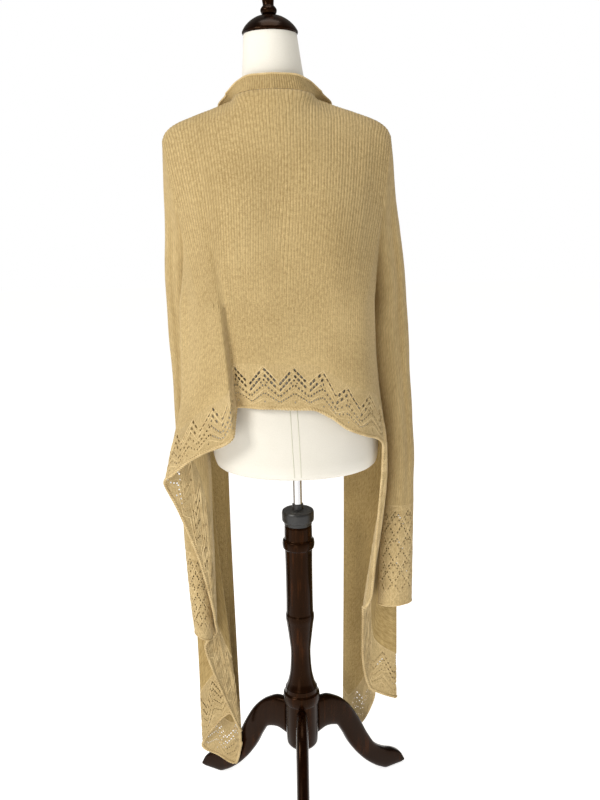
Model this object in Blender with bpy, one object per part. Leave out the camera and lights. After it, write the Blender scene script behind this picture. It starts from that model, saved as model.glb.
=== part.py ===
# A long waterfall cardigan in fine knit with lace borders, worn by a limbless dress form on a
# turned wooden stand. Metres, +Z up. The front of the garment faces -Y, its back faces +Y, and
# the wearer's left is +X. Tables are read about the stand's post, with the form upright; the
# function place() then leans them with the form and moves them to the row's origin.

import math

import bpy
import bmesh
from mathutils import Vector
from mathutils.geometry import delaunay_2d_cdt

# ---- driving dimensions -------------------------------------------------------------------

AXIS_X = -0.0100            # the post's place in the row's frame
AXIS_Y = -0.0625
FORM_LEAN = math.radians(2.3)
LEAN_FROM = 0.780           # the form's underside, above which it leans

CLOTH = 0.0018              # thickness of the knit
LACE = 0.0018
ROLL = 0.0034               # thickness of the curled hem at its edge
SEAM_GAP = 0.0004
LACE_GAP = 0.0009           # between the plain cloth and the lace
WAIST_LEVEL = 1.120         # between a panel's shaped top and its hanging lower part

UNDERARM = 1.170
SHOULDER_TIP = 1.420
ARMHOLE_X_LOW = 0.168
ARMHOLE_X_HIGH = 0.212
ARMHOLE_DEPTH = 0.046
RING_HALF = 12              # segments in half a sleeve ring, shared with the armhole

REPEAT = 0.055              # width of one lace point
EYELET = 0.0026             # half width of a large eyelet
EYELET_SIDES = 6
EDGE_CLEAR = 0.007          # plain cloth kept between an eyelet and the lace's edge

CAP_BASE = 1.6003
COLLAR_TOP = 0.700
ROD_RADIUS = 0.0092
LEG_WIDTH = 0.026
LEG_ANGLES = {"leg_rear": 90.0, "leg_left": -30.0, "leg_right": 210.0}

# ---- small tools --------------------------------------------------------------------------


def spline(knots, values, at):
    """Smooth curve through the knots that never overshoots them."""
    if knots[0] > knots[-1]:
        knots = knots[::-1]
        values = values[::-1]
    count = len(knots)
    at = min(max(at, knots[0]), knots[-1])
    span = 0
    while span < count - 2 and at > knots[span + 1]:
        span += 1

    def slope(index):
        return (values[index + 1] - values[index]) / (knots[index + 1] - knots[index])

    def tangent(index):
        if index == 0:
            return slope(0)
        if index == count - 1:
            return slope(count - 2)
        before = slope(index - 1)
        after = slope(index)
        if before * after <= 0.0:
            return 0.0
        return 2.0 * before * after / (before + after)

    width = knots[span + 1] - knots[span]
    q = (at - knots[span]) / width
    start = (2 * q ** 3 - 3 * q ** 2 + 1) * values[span]
    start_pull = (q ** 3 - 2 * q ** 2 + q) * width * tangent(span)
    end = (3 * q ** 2 - 2 * q ** 3) * values[span + 1]
    end_pull = (q ** 3 - q ** 2) * width * tangent(span + 1)
    return start + start_pull + end + end_pull


def lookup(table, names, at):
    """One row worked out between the rows of a table whose first column is the place."""
    knots = [row[0] for row in table]
    found = {}
    for index, name in enumerate(names):
        if index > 0:
            found[name] = spline(knots, [row[index] for row in table], at)
    return found


def place(point):
    """Lean a point with the form and move it to the row's origin."""
    x, y, z = point
    lean = max(0.0, z - LEAN_FROM) * math.tan(FORM_LEAN)
    return Vector((x + lean + AXIS_X, y + AXIS_Y, z))


def material(name, colour, roughness, metallic=0.0):
    made = bpy.data.materials.new(name)
    made.use_nodes = True
    shader = made.node_tree.nodes["Principled BSDF"]
    shader.inputs["Base Color"].default_value = (*colour, 1.0)
    shader.inputs["Roughness"].default_value = roughness
    shader.inputs["Metallic"].default_value = metallic
    made.diffuse_color = (*colour, 1.0)
    return made


SHARP_ANGLE = math.radians(40.0)    # edges bent more than this stay sharp


def add_node(name, points, faces, paint):
    """A closed solid with its faces turned outward, shaded smooth but for its sharp edges."""
    mesh = bpy.data.meshes.new(name)
    mesh.from_pydata([tuple(point) for point in points], [], faces)
    body = bmesh.new()
    body.from_mesh(mesh)
    bmesh.ops.recalc_face_normals(body, faces=body.faces)
    body.to_mesh(mesh)
    body.free()
    mesh.shade_smooth()
    mesh.set_sharp_from_angle(angle=SHARP_ANGLE)
    mesh.materials.append(paint)
    made = bpy.data.objects.new(name, mesh)
    bpy.context.scene.collection.objects.link(made)
    return made


def add_rings(name, rings, paint):
    """Join closed rings of equal length and cap the first and the last."""
    size = len(rings[0])
    points = [point for ring in rings for point in ring]
    faces = []
    for row in range(len(rings) - 1):
        for step in range(size):
            follow = (step + 1) % size
            faces.append((row * size + step, row * size + follow,
                          (row + 1) * size + follow, (row + 1) * size + step))
    faces.append(tuple(range(size)))
    faces.append(tuple((len(rings) - 1) * size + step for step in range(size)))
    return add_node(name, points, faces, paint)


def add_turned(name, profile, segments, paint):
    """A lathe shape from (height, radius) rows, bottom first."""
    rings = []
    for height, radius in profile:
        ring = []
        for step in range(segments):
            angle = 2.0 * math.pi * step / segments
            ring.append(place((radius * math.cos(angle), radius * math.sin(angle), height)))
        rings.append(ring)
    return add_rings(name, rings, paint)


GRID_STEP = 0.010           # steps for a wall's normals: in places, and in flat metres
FLAT_STEP = 0.002
SAME_SPOT = 1e-6
LINE_CLEAR = 0.0014         # least gap between an eyelet and a line the wall bends along


def frame_at(surface, a, b, step):
    """The point, its two unit-step derivatives and the normal of surface(a, b)."""
    centre = surface(a, b)
    along = (surface(a + step, b) - surface(a - step, b)) / (2.0 * step)
    down = (surface(a, b + step) - surface(a, b - step)) / (2.0 * step)
    normal = along.cross(down)
    if normal.length > 1e-12:
        normal.normalize()
    return centre, along, down, normal


def add_sheet(name, surface, columns, rows, thickness, paint, closed=False):
    """A wall of even thickness over a grid of (column, row) places."""
    outer = []
    inner = []
    for row in rows:
        for column in columns:
            centre, _, _, normal = frame_at(surface, column, row, GRID_STEP)
            outer.append(centre + normal * thickness / 2.0)
            inner.append(centre - normal * thickness / 2.0)
    width = len(columns)
    total = len(outer)
    faces = []
    spans = width if closed else width - 1
    for row in range(len(rows) - 1):
        for step in range(spans):
            follow = (step + 1) % width
            here = row * width + step
            beside = row * width + follow
            below = (row + 1) * width + step
            across = (row + 1) * width + follow
            halves = ((here, beside, across), (here, across, below))
            if (outer[beside] - outer[below]).length < (outer[here] - outer[across]).length:
                halves = ((here, beside, below), (beside, across, below))
            for half in halves:
                faces.append(half)
                faces.append(tuple(total + index for index in reversed(half)))
    for step in range(spans):
        follow = (step + 1) % width
        last = (len(rows) - 1) * width
        faces.append((follow, step, total + step, total + follow))
        faces.append((last + step, last + follow, total + last + follow, total + last + step))
    if not closed:
        for row in range(len(rows) - 1):
            left = row * width
            right = left + width - 1
            faces.append((left, left + width, total + left + width, total + left))
            faces.append((right + width, right, total + right, total + right + width))
    return add_node(name, outer + inner, faces, paint)


def eyelet_outline(surface, a, b):
    """An eyelet's corners in the flat layout, so that it is round on the cloth."""
    _, along, down, _ = frame_at(surface, a, b, FLAT_STEP)
    lean = down.dot(along) / along.length
    side = down - along * (lean / along.length)
    outline = []
    for step in range(EYELET_SIDES):
        angle = 2.0 * math.pi * step / EYELET_SIDES
        rise = EYELET * math.sin(angle) / side.length
        reach = (EYELET * math.cos(angle) - rise * lean) / along.length
        outline.append(Vector((a + reach, b + rise)))
    return outline


def within(spot, outline):
    """Whether a flat spot lies inside a closed outline."""
    inside = False
    for index, corner in enumerate(outline):
        before = outline[index - 1]
        if (corner.y > spot.y) != (before.y > spot.y):
            cut = corner.x + (before.x - corner.x) * (spot.y - corner.y) / (before.y - corner.y)
            if spot.x < cut:
                inside = not inside
    return inside


def gap_to(spot, outline):
    """Distance from a flat spot to the nearest side of an outline."""
    best = 1.0
    for index, corner in enumerate(outline):
        side = outline[index - 1] - corner
        share = max(0.0, min(1.0, (spot - corner).dot(side) / side.length_squared))
        best = min(best, (spot - corner - side * share).length)
    return best


def corner_normals(points, flat, cells):
    """Each point's normal, half from the triangles on its one side and half from the other."""
    sides = [(Vector((0.0, 0.0, 0.0)), Vector((0.0, 0.0, 0.0))) for _ in points]
    for cell in cells:
        middle = sum(flat[index].x for index in cell) / 3.0
        for index, corner in enumerate(cell):
            ahead = points[cell[(index + 1) % 3]] - points[corner]
            behind = points[cell[index - 1]] - points[corner]
            facing = ahead.cross(behind)
            if facing.length > 0.0:
                side = sides[corner][middle > flat[corner].x]
                side += facing.normalized() * ahead.angle(behind)
    return [(before.normalized() + after.normalized()).normalized() for before, after in sides]


def line_normal(surface, spot, lines):
    """A line's normal from the chords to the lines beside it, the same for two facing walls."""
    places = [line[0][0] for line in lines]
    index = min(range(len(places)), key=lambda number: abs(places[number] - spot.x))
    here = surface(spot.x, spot.y)
    upward = surface(spot.x, spot.y + FLAT_STEP) - surface(spot.x, spot.y - FLAT_STEP)
    normal = Vector((0.0, 0.0, 0.0))
    if index > 0:
        normal += (here - surface(places[index - 1], spot.y)).cross(upward).normalized()
    if index + 1 < len(places):
        normal += (surface(places[index + 1], spot.y) - here).cross(upward).normalized()
    return normal.normalized()


def clear_of_lines(surface, centre, lines):
    """An eyelet's outline, moved sideways where it would lie on one of the wall's lines."""
    ring = eyelet_outline(surface, *centre)
    reach = max(abs(spot.x - centre[0]) for spot in ring) + LINE_CLEAR
    nearest = min((line[0][0] for line in lines), key=lambda a: abs(a - centre[0]))
    if abs(nearest - centre[0]) >= reach:
        return Vector(centre), ring
    side = 1.0 if centre[0] >= nearest else -1.0
    moved = (nearest + side * 1.05 * reach, centre[1])
    ring = eyelet_outline(surface, *moved)
    low = min(spot.x for spot in ring)
    high = max(spot.x for spot in ring)
    if any(low < line[0][0] < high for line in lines):
        return Vector(moved), []
    return Vector(moved), ring


def add_wall(name, surface, border, lines, seam, eyelets, half_at, paint):
    """A wall over a flat outline, with eyelets cut through it.

    surface(a, b) maps the flat layout to the cloth, border is the closed outline, lines are
    columns of flat spots the wall bends along, seam holds the spots that face another wall's
    edge, and half_at(a, b) is half the wall's thickness.
    """
    outline = [Vector(spot) for spot in border]
    flat = []
    edges = []
    numbers = {}

    def number(spot):
        key = (round(spot[0], 9), round(spot[1], 9))
        if key not in numbers:
            numbers[key] = len(flat)
            flat.append(Vector(spot))
        return numbers[key]

    for line in [border + border[:1]] + lines:
        for here, follow in zip(line, line[1:]):
            edges.append((number(here), number(follow)))
    holes = []
    for centre in eyelets:
        middle, ring = clear_of_lines(surface, centre, lines)
        if not ring:
            continue
        reach = max((spot - middle).length for spot in ring)
        clear = all(within(spot, outline) and gap_to(spot, outline) > EDGE_CLEAR for spot in ring)
        apart = all((middle - other).length > 1.1 * (reach + room) for other, room, _ in holes)
        if clear and apart:
            start = len(flat)
            flat += ring
            for step in range(EYELET_SIDES):
                edges.append((start + step, start + (step + 1) % EYELET_SIDES))
            holes.append((middle, reach, ring))
    spots, _, cells, _, _, _ = delaunay_2d_cdt(flat, edges, [], 0, 1e-7)
    kept = []
    for cell in cells:
        middle = sum((spots[index] for index in cell), Vector((0.0, 0.0))) / len(cell)
        near = [ring for centre, reach, ring in holes if (middle - centre).length < reach]
        if within(middle, outline) and not any(within(middle, ring) for ring in near):
            kept.append(tuple(cell))
    centres = [surface(spot.x, spot.y) for spot in spots]
    normals = corner_normals(centres, spots, kept)
    for index, spot in enumerate(spots):
        if any((spot - Vector(seam_spot)).length < SAME_SPOT for seam_spot in seam):
            normals[index] = line_normal(surface, spot, lines)
    halves = [half_at(spot.x, spot.y) for spot in spots]
    outer = [centre + normal * half for centre, normal, half in zip(centres, normals, halves)]
    inner = [centre - normal * half for centre, normal, half in zip(centres, normals, halves)]
    total = len(spots)
    faces = []
    loose = {}
    for cell in kept:
        faces.append(cell)
        faces.append(tuple(total + index for index in reversed(cell)))
        for index, corner in enumerate(cell):
            follow = cell[(index + 1) % len(cell)]
            if (follow, corner) in loose:
                del loose[(follow, corner)]
            else:
                loose[(corner, follow)] = True
    for corner, follow in loose:
        faces.append((follow, corner, total + corner, total + follow))
    used = sorted({index for face in faces for index in face})
    renumber = {index: place_in_list for place_in_list, index in enumerate(used)}
    points = outer + inner
    return add_node(name, [points[index] for index in used],
                    [tuple(renumber[index] for index in face) for face in faces], paint)


# ---- the dress form and its stand ---------------------------------------------------------

# height, half width, half depth, forward shift
FORM_ROWS = (
    (0.7800, 0.120, 0.084, 0.000),
    (0.7830, 0.146, 0.104, 0.000),
    (0.7920, 0.160, 0.115, 0.000),
    (0.8150, 0.166, 0.120, 0.000),
    (0.8700, 0.167, 0.120, 0.000),
    (0.9400, 0.157, 0.111, 0.000),
    (1.0200, 0.124, 0.093, 0.000),
    (1.1000, 0.128, 0.096, 0.004),
    (1.2000, 0.146, 0.110, 0.010),
    (1.2600, 0.150, 0.113, 0.010),
    (1.3200, 0.158, 0.104, 0.006),
    (1.3700, 0.174, 0.084, 0.002),
    (1.4050, 0.180, 0.064, 0.000),
    (1.4250, 0.170, 0.054, 0.000),
    (1.4450, 0.148, 0.043, 0.000),
    (1.4600, 0.131, 0.033, 0.000),
    (1.4719, 0.1142, 0.019, 0.000),
    (1.4850, 0.071, 0.047, 0.000),
    (1.5200, 0.0585, 0.052, 0.000),
    (1.6000, 0.0487, 0.0487, 0.000),
)
FORM_SEGMENTS = 24

CAP_PROFILE = (
    (0.0000, 0.0500), (0.0030, 0.0512), (0.0100, 0.0480), (0.0200, 0.0390),
    (0.0290, 0.0250), (0.0330, 0.0130),
)
FINIAL_PROFILE = (
    (0.0000, 0.0100), (0.0020, 0.0135), (0.0080, 0.0150), (0.0130, 0.0125), (0.0160, 0.0100),
    (0.0260, 0.0110), (0.0400, 0.0145), (0.0500, 0.0165), (0.0580, 0.0160), (0.0660, 0.0110),
    (0.0700, 0.0050),
)
COLLAR_PROFILE = (
    (-0.0440, 0.0290), (-0.0400, 0.0330), (-0.0100, 0.0330), (-0.0030, 0.0290), (0.0000, 0.0240),
)
POST_PROFILE = (
    (0.2853, 0.0330), (0.3000, 0.0285), (0.3250, 0.0245), (0.3650, 0.0232), (0.4050, 0.0270),
    (0.4500, 0.0308), (0.4900, 0.0290), (0.5400, 0.0262), (0.5900, 0.0280), (0.6020, 0.0290),
    (0.6060, 0.0325), (0.6140, 0.0335), (0.6220, 0.0325), (0.6260, 0.0290), (0.6500, 0.0285),
    (0.6557, 0.0270),
)
HUB_PROFILE = (
    (0.1420, 0.0180), (0.1450, 0.0280), (0.1550, 0.0335), (0.1900, 0.0350), (0.2400, 0.0350),
    (0.2480, 0.0350), (0.2520, 0.0385), (0.2620, 0.0395), (0.2720, 0.0385), (0.2760, 0.0350),
    (0.2850, 0.0340),
)

# upper edge and lower edge of a leg, as distance from the post's axis and height
LEG_ROWS = (
    ("reach_up", "height_up", "reach_low", "height_low"),
    (0.0348, 0.2450, 0.0348, 0.1600),
    (0.0600, 0.2440, 0.0600, 0.1680),
    (0.0900, 0.2300, 0.0850, 0.1620),
    (0.1180, 0.2050, 0.1020, 0.1380),
    (0.1450, 0.1620, 0.1190, 0.1040),
    (0.1690, 0.1130, 0.1420, 0.0690),
    (0.1920, 0.0760, 0.1720, 0.0350),
    (0.2200, 0.0540, 0.2050, 0.0090),
    (0.2450, 0.0420, 0.2250, 0.0000),
    (0.2640, 0.0270, 0.2600, 0.0000),
    (0.2720, 0.0110, 0.2690, 0.0040),
)
# share of the leg's width and of its height, around one section
LEG_SECTION = (
    (-0.62, 0.00), (0.62, 0.00), (1.00, 0.16), (1.00, 0.80), (0.60, 1.00), (-0.60, 1.00),
    (-1.00, 0.80), (-1.00, 0.16),
)


def add_form(paint):
    rings = []
    for height, half_width, half_depth, forward in FORM_ROWS:
        ring = []
        for step in range(FORM_SEGMENTS):
            angle = 2.0 * math.pi * step / FORM_SEGMENTS
            ring.append(place((half_width * math.cos(angle),
                               half_depth * math.sin(angle) - forward, height)))
        rings.append(ring)
    return add_rings("dress_form", rings, paint)


def add_leg(name, degrees, paint):
    angle = math.radians(degrees)
    outward = Vector((math.cos(angle), math.sin(angle), 0.0))
    across = Vector((-math.sin(angle), math.cos(angle), 0.0))
    rings = []
    for reach_up, height_up, reach_low, height_low in LEG_ROWS[1:]:
        low = outward * reach_low + Vector((0.0, 0.0, height_low))
        up = outward * reach_up + Vector((0.0, 0.0, height_up))
        ring = []
        for side, share in LEG_SECTION:
            spot = low.lerp(up, share) + across * side * LEG_WIDTH / 2.0
            ring.append(place(spot))
        rings.append(ring)
    return add_rings(name, rings, paint)


def add_stand():
    wood = material("dark_wood", (0.050, 0.012, 0.006), 0.25)
    linen = material("form_cover", (0.83, 0.80, 0.72), 0.75)
    chrome = material("chrome", (0.75, 0.75, 0.77), 0.15, 1.0)
    black = material("black_collar", (0.012, 0.012, 0.013), 0.35)
    add_form(linen)
    add_turned("neck_cap", [(CAP_BASE + rise, radius) for rise, radius in CAP_PROFILE], 20, wood)
    finial_base = CAP_BASE + CAP_PROFILE[-1][0] + SEAM_GAP
    add_turned("finial", [(finial_base + rise, radius) for rise, radius in FINIAL_PROFILE], 12, wood)
    add_turned("rod", [(COLLAR_TOP + SEAM_GAP, ROD_RADIUS), (LEAN_FROM - SEAM_GAP, ROD_RADIUS)],
               12, chrome)
    add_turned("clamp_collar", [(COLLAR_TOP + rise, radius) for rise, radius in COLLAR_PROFILE],
               18, black)
    add_turned("post", POST_PROFILE, 18, wood)
    add_turned("hub", HUB_PROFILE, 18, wood)
    for name, degrees in LEG_ANGLES.items():
        add_leg(name, degrees, wood)


# ---- the cloth: top edges -----------------------------------------------------------------

# share of the way from the shoulder tip to the neck, x, height
SHOULDER_ROWS = (
    (0.000, 0.212, 1.420),
    (0.080, 0.206, 1.432),
    (0.200, 0.188, 1.446),
    (0.450, 0.150, 1.461),
    (0.720, 0.115, 1.473),
    (1.000, 0.078, 1.487),
)
# share of the way from the side of the neck to its centre back, x, y, height
NECK_ROWS = (
    (0.00, 0.078, 0.000, 1.487),
    (0.30, 0.068, 0.036, 1.492),
    (0.60, 0.042, 0.058, 1.496),
    (1.00, 0.000, 0.066, 1.498),
)


def armhole(turn, side):
    """The armhole from the underarm (turn 0) to the shoulder tip (turn 1), side 1 at the back."""
    angle = math.pi * turn
    middle_x = (ARMHOLE_X_LOW + ARMHOLE_X_HIGH) / 2.0
    middle_z = (UNDERARM + SHOULDER_TIP) / 2.0
    x = middle_x - (ARMHOLE_X_HIGH - ARMHOLE_X_LOW) / 2.0 * math.cos(angle)
    z = middle_z - (SHOULDER_TIP - UNDERARM) / 2.0 * math.cos(angle)
    return x, side * ARMHOLE_DEPTH * math.sin(angle), z


# ---- the cloth: hanging panels ------------------------------------------------------------

# A row is one fold or valley, told by its place along the panel, from the side seam on. It has
# x and y at the waist level, at 0.96 m, at a third height (knee_z), at the hem, then the hem's
# height and the height of the lace above it.
PANEL_NAMES = ("place", "waist_x", "waist_y", "hip_x", "hip_y", "knee_x", "knee_y", "knee_z",
               "hem_x", "hem_y", "hem_z", "lace")
HIP_LEVEL = 0.960
ARCH_POWER = 2.4            # how roundly the cloth goes over the shoulder
EDGE_REACH = 0.55           # share of the shoulder over which the armhole's bend fades out
SLOPE_STEP = 0.004
STEEPEST = 8.0

# The back from the left side seam to its centre. Places: armhole 0 to 0.8, shoulder to 1.5.
BACK_LEFT = (
    (0.0000, 0.158, 0.000, 0.166, 0.000, 0.175, 0.000, 0.82, 0.177, 0.004, 0.425, 0.200),
    (0.1333, 0.163, 0.030, 0.170, 0.032, 0.177, 0.032, 0.82, 0.178, 0.028, 0.465, 0.220),
    (0.2667, 0.178, 0.050, 0.186, 0.047, 0.192, 0.046, 0.82, 0.198, 0.038, 0.580, 0.200),
    (0.4000, 0.192, 0.058, 0.202, 0.057, 0.222, 0.056, 0.82, 0.236, 0.050, 0.705, 0.140),
    (0.5333, 0.198, 0.067, 0.209, 0.067, 0.246, 0.066, 0.82, 0.260, 0.062, 0.770, 0.100),
    (0.6667, 0.180, 0.082, 0.194, 0.083, 0.228, 0.080, 0.84, 0.240, 0.080, 0.793, 0.092),
    (0.8000, 0.158, 0.102, 0.168, 0.104, 0.189, 0.102, 0.88, 0.200, 0.104, 0.828, 0.090),
    (0.8700, 0.147, 0.108, 0.152, 0.112, 0.167, 0.114, 0.88, 0.176, 0.118, 0.844, 0.090),
    (1.0000, 0.122, 0.118, 0.114, 0.130, 0.114, 0.133, 0.91, 0.113, 0.134, 0.880, 0.088),
    (1.0800, 0.110, 0.112, 0.105, 0.106, 0.104, 0.102, 0.95, 0.104, 0.101, 0.929, 0.085),
    (1.1800, 0.095, 0.117, 0.090, 0.113, 0.087, 0.111, 0.95, 0.086, 0.110, 0.932, 0.083),
    (1.5000, 0.050, 0.124, 0.050, 0.125, 0.050, 0.126, 0.95, 0.050, 0.126, 0.932, 0.083),
    (2.0000, 0.000, 0.126, 0.000, 0.127, 0.000, 0.128, 0.95, 0.000, 0.128, 0.930, 0.083),
)
BACK_RIGHT = (
    (0.0000, 0.150, 0.000, 0.164, 0.000, 0.176, 0.000, 0.82, 0.134, 0.002, 0.468, 0.180),
    (0.1333, 0.153, 0.030, 0.167, 0.030, 0.178, 0.031, 0.82, 0.136, 0.020, 0.475, 0.200),
    (0.2667, 0.160, 0.050, 0.168, 0.047, 0.180, 0.046, 0.82, 0.147, 0.036, 0.505, 0.220),
    (0.4000, 0.163, 0.058, 0.166, 0.056, 0.179, 0.055, 0.84, 0.160, 0.048, 0.660, 0.180),
    (0.5333, 0.164, 0.068, 0.162, 0.066, 0.170, 0.065, 0.88, 0.172, 0.061, 0.835, 0.095),
    (0.6667, 0.156, 0.084, 0.153, 0.084, 0.157, 0.084, 0.90, 0.160, 0.080, 0.858, 0.090),
    (0.8700, 0.140, 0.104, 0.134, 0.104, 0.135, 0.104, 0.91, 0.136, 0.104, 0.871, 0.088),
    (1.1300, 0.110, 0.116, 0.103, 0.117, 0.102, 0.119, 0.92, 0.102, 0.119, 0.888, 0.085),
    (1.3400, 0.083, 0.121, 0.074, 0.122, 0.073, 0.124, 0.94, 0.072, 0.125, 0.912, 0.083),
    (1.6700, 0.042, 0.124, 0.036, 0.125, 0.036, 0.127, 0.95, 0.036, 0.128, 0.929, 0.083),
    (2.0000, 0.000, 0.126, 0.000, 0.127, 0.000, 0.128, 0.95, 0.000, 0.128, 0.930, 0.083),
)
BACK_PLACES = (0.87, 0.935, 1.0, 1.04, 1.08, 1.13, 1.18, 1.34, 1.5)
# The fronts from the side seam to the front edge. Places: armhole 0 to 0.45, neck at 1.
FRONT_LEFT = (
    (0.0000, 0.158, 0.000, 0.166, 0.000, 0.175, 0.000, 0.82, 0.177, 0.004, 0.425, 0.200),
    (0.1500, 0.160, -0.034, 0.170, -0.034, 0.181, -0.034, 0.82, 0.182, -0.020, 0.400, 0.180),
    (0.2250, 0.160, -0.050, 0.184, -0.046, 0.214, -0.046, 0.82, 0.207, -0.028, 0.365, 0.160),
    (0.3750, 0.148, -0.068, 0.168, -0.060, 0.182, -0.057, 0.82, 0.138, -0.038, 0.150, 0.180),
    (0.5050, 0.138, -0.085, 0.170, -0.074, 0.200, -0.067, 0.82, 0.162, -0.048, 0.190, 0.115),
    (0.6500, 0.124, -0.104, 0.172, -0.092, 0.228, -0.080, 0.82, 0.228, -0.058, 0.104, 0.125),
    (0.8000, 0.110, -0.120, 0.146, -0.110, 0.186, -0.096, 0.82, 0.192, -0.063, 0.074, 0.105),
    (0.9350, 0.095, -0.134, 0.122, -0.126, 0.161, -0.110, 0.82, 0.156, -0.063, 0.052, 0.100),
    (1.0000, 0.088, -0.138, 0.110, -0.134, 0.150, -0.116, 0.82, 0.139, -0.056, 0.110, 0.100),
)
FRONT_RIGHT = (
    (0.0000, 0.150, 0.000, 0.164, 0.000, 0.176, 0.000, 0.82, 0.134, 0.002, 0.468, 0.180),
    (0.0750, 0.151, -0.018, 0.166, -0.018, 0.178, -0.018, 0.82, 0.134, -0.012, 0.360, 0.160),
    (0.1500, 0.153, -0.034, 0.168, -0.034, 0.180, -0.036, 0.82, 0.150, -0.028, 0.262, 0.120),
    (0.2250, 0.152, -0.050, 0.174, -0.047, 0.206, -0.048, 0.82, 0.210, -0.036, 0.230, 0.105),
    (0.4500, 0.142, -0.076, 0.164, -0.068, 0.184, -0.066, 0.82, 0.150, -0.060, 0.240, 0.120),
    (0.5775, 0.131, -0.092, 0.160, -0.086, 0.190, -0.082, 0.82, 0.166, -0.088, 0.205, 0.130),
    (0.7250, 0.116, -0.110, 0.140, -0.108, 0.154, -0.106, 0.82, 0.144, -0.112, 0.128, 0.110),
    (0.8680, 0.100, -0.128, 0.112, -0.130, 0.120, -0.128, 0.82, 0.106, -0.126, 0.080, 0.100),
    (1.0000, 0.087, -0.138, 0.095, -0.140, 0.103, -0.138, 0.82, 0.096, -0.134, 0.100, 0.100),
)
FRONT_PLACES = (0.505, 0.5775, 0.65, 0.725, 0.80, 0.868, 1.0)
BAND_FROM = 0.935           # the front band's inner edge, as a place along the front
BAND_GAP = 0.003
BACK_ARM_END = 0.8
BACK_NECK_START = 1.5
FRONT_ARM_END = 0.45
FRONT_NECK_START = 1.0
MEASURE_LEVEL = 1.0         # the height at which a panel's width is laid out flat
TOP_SPAN = SHOULDER_TIP - WAIST_LEVEL


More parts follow.
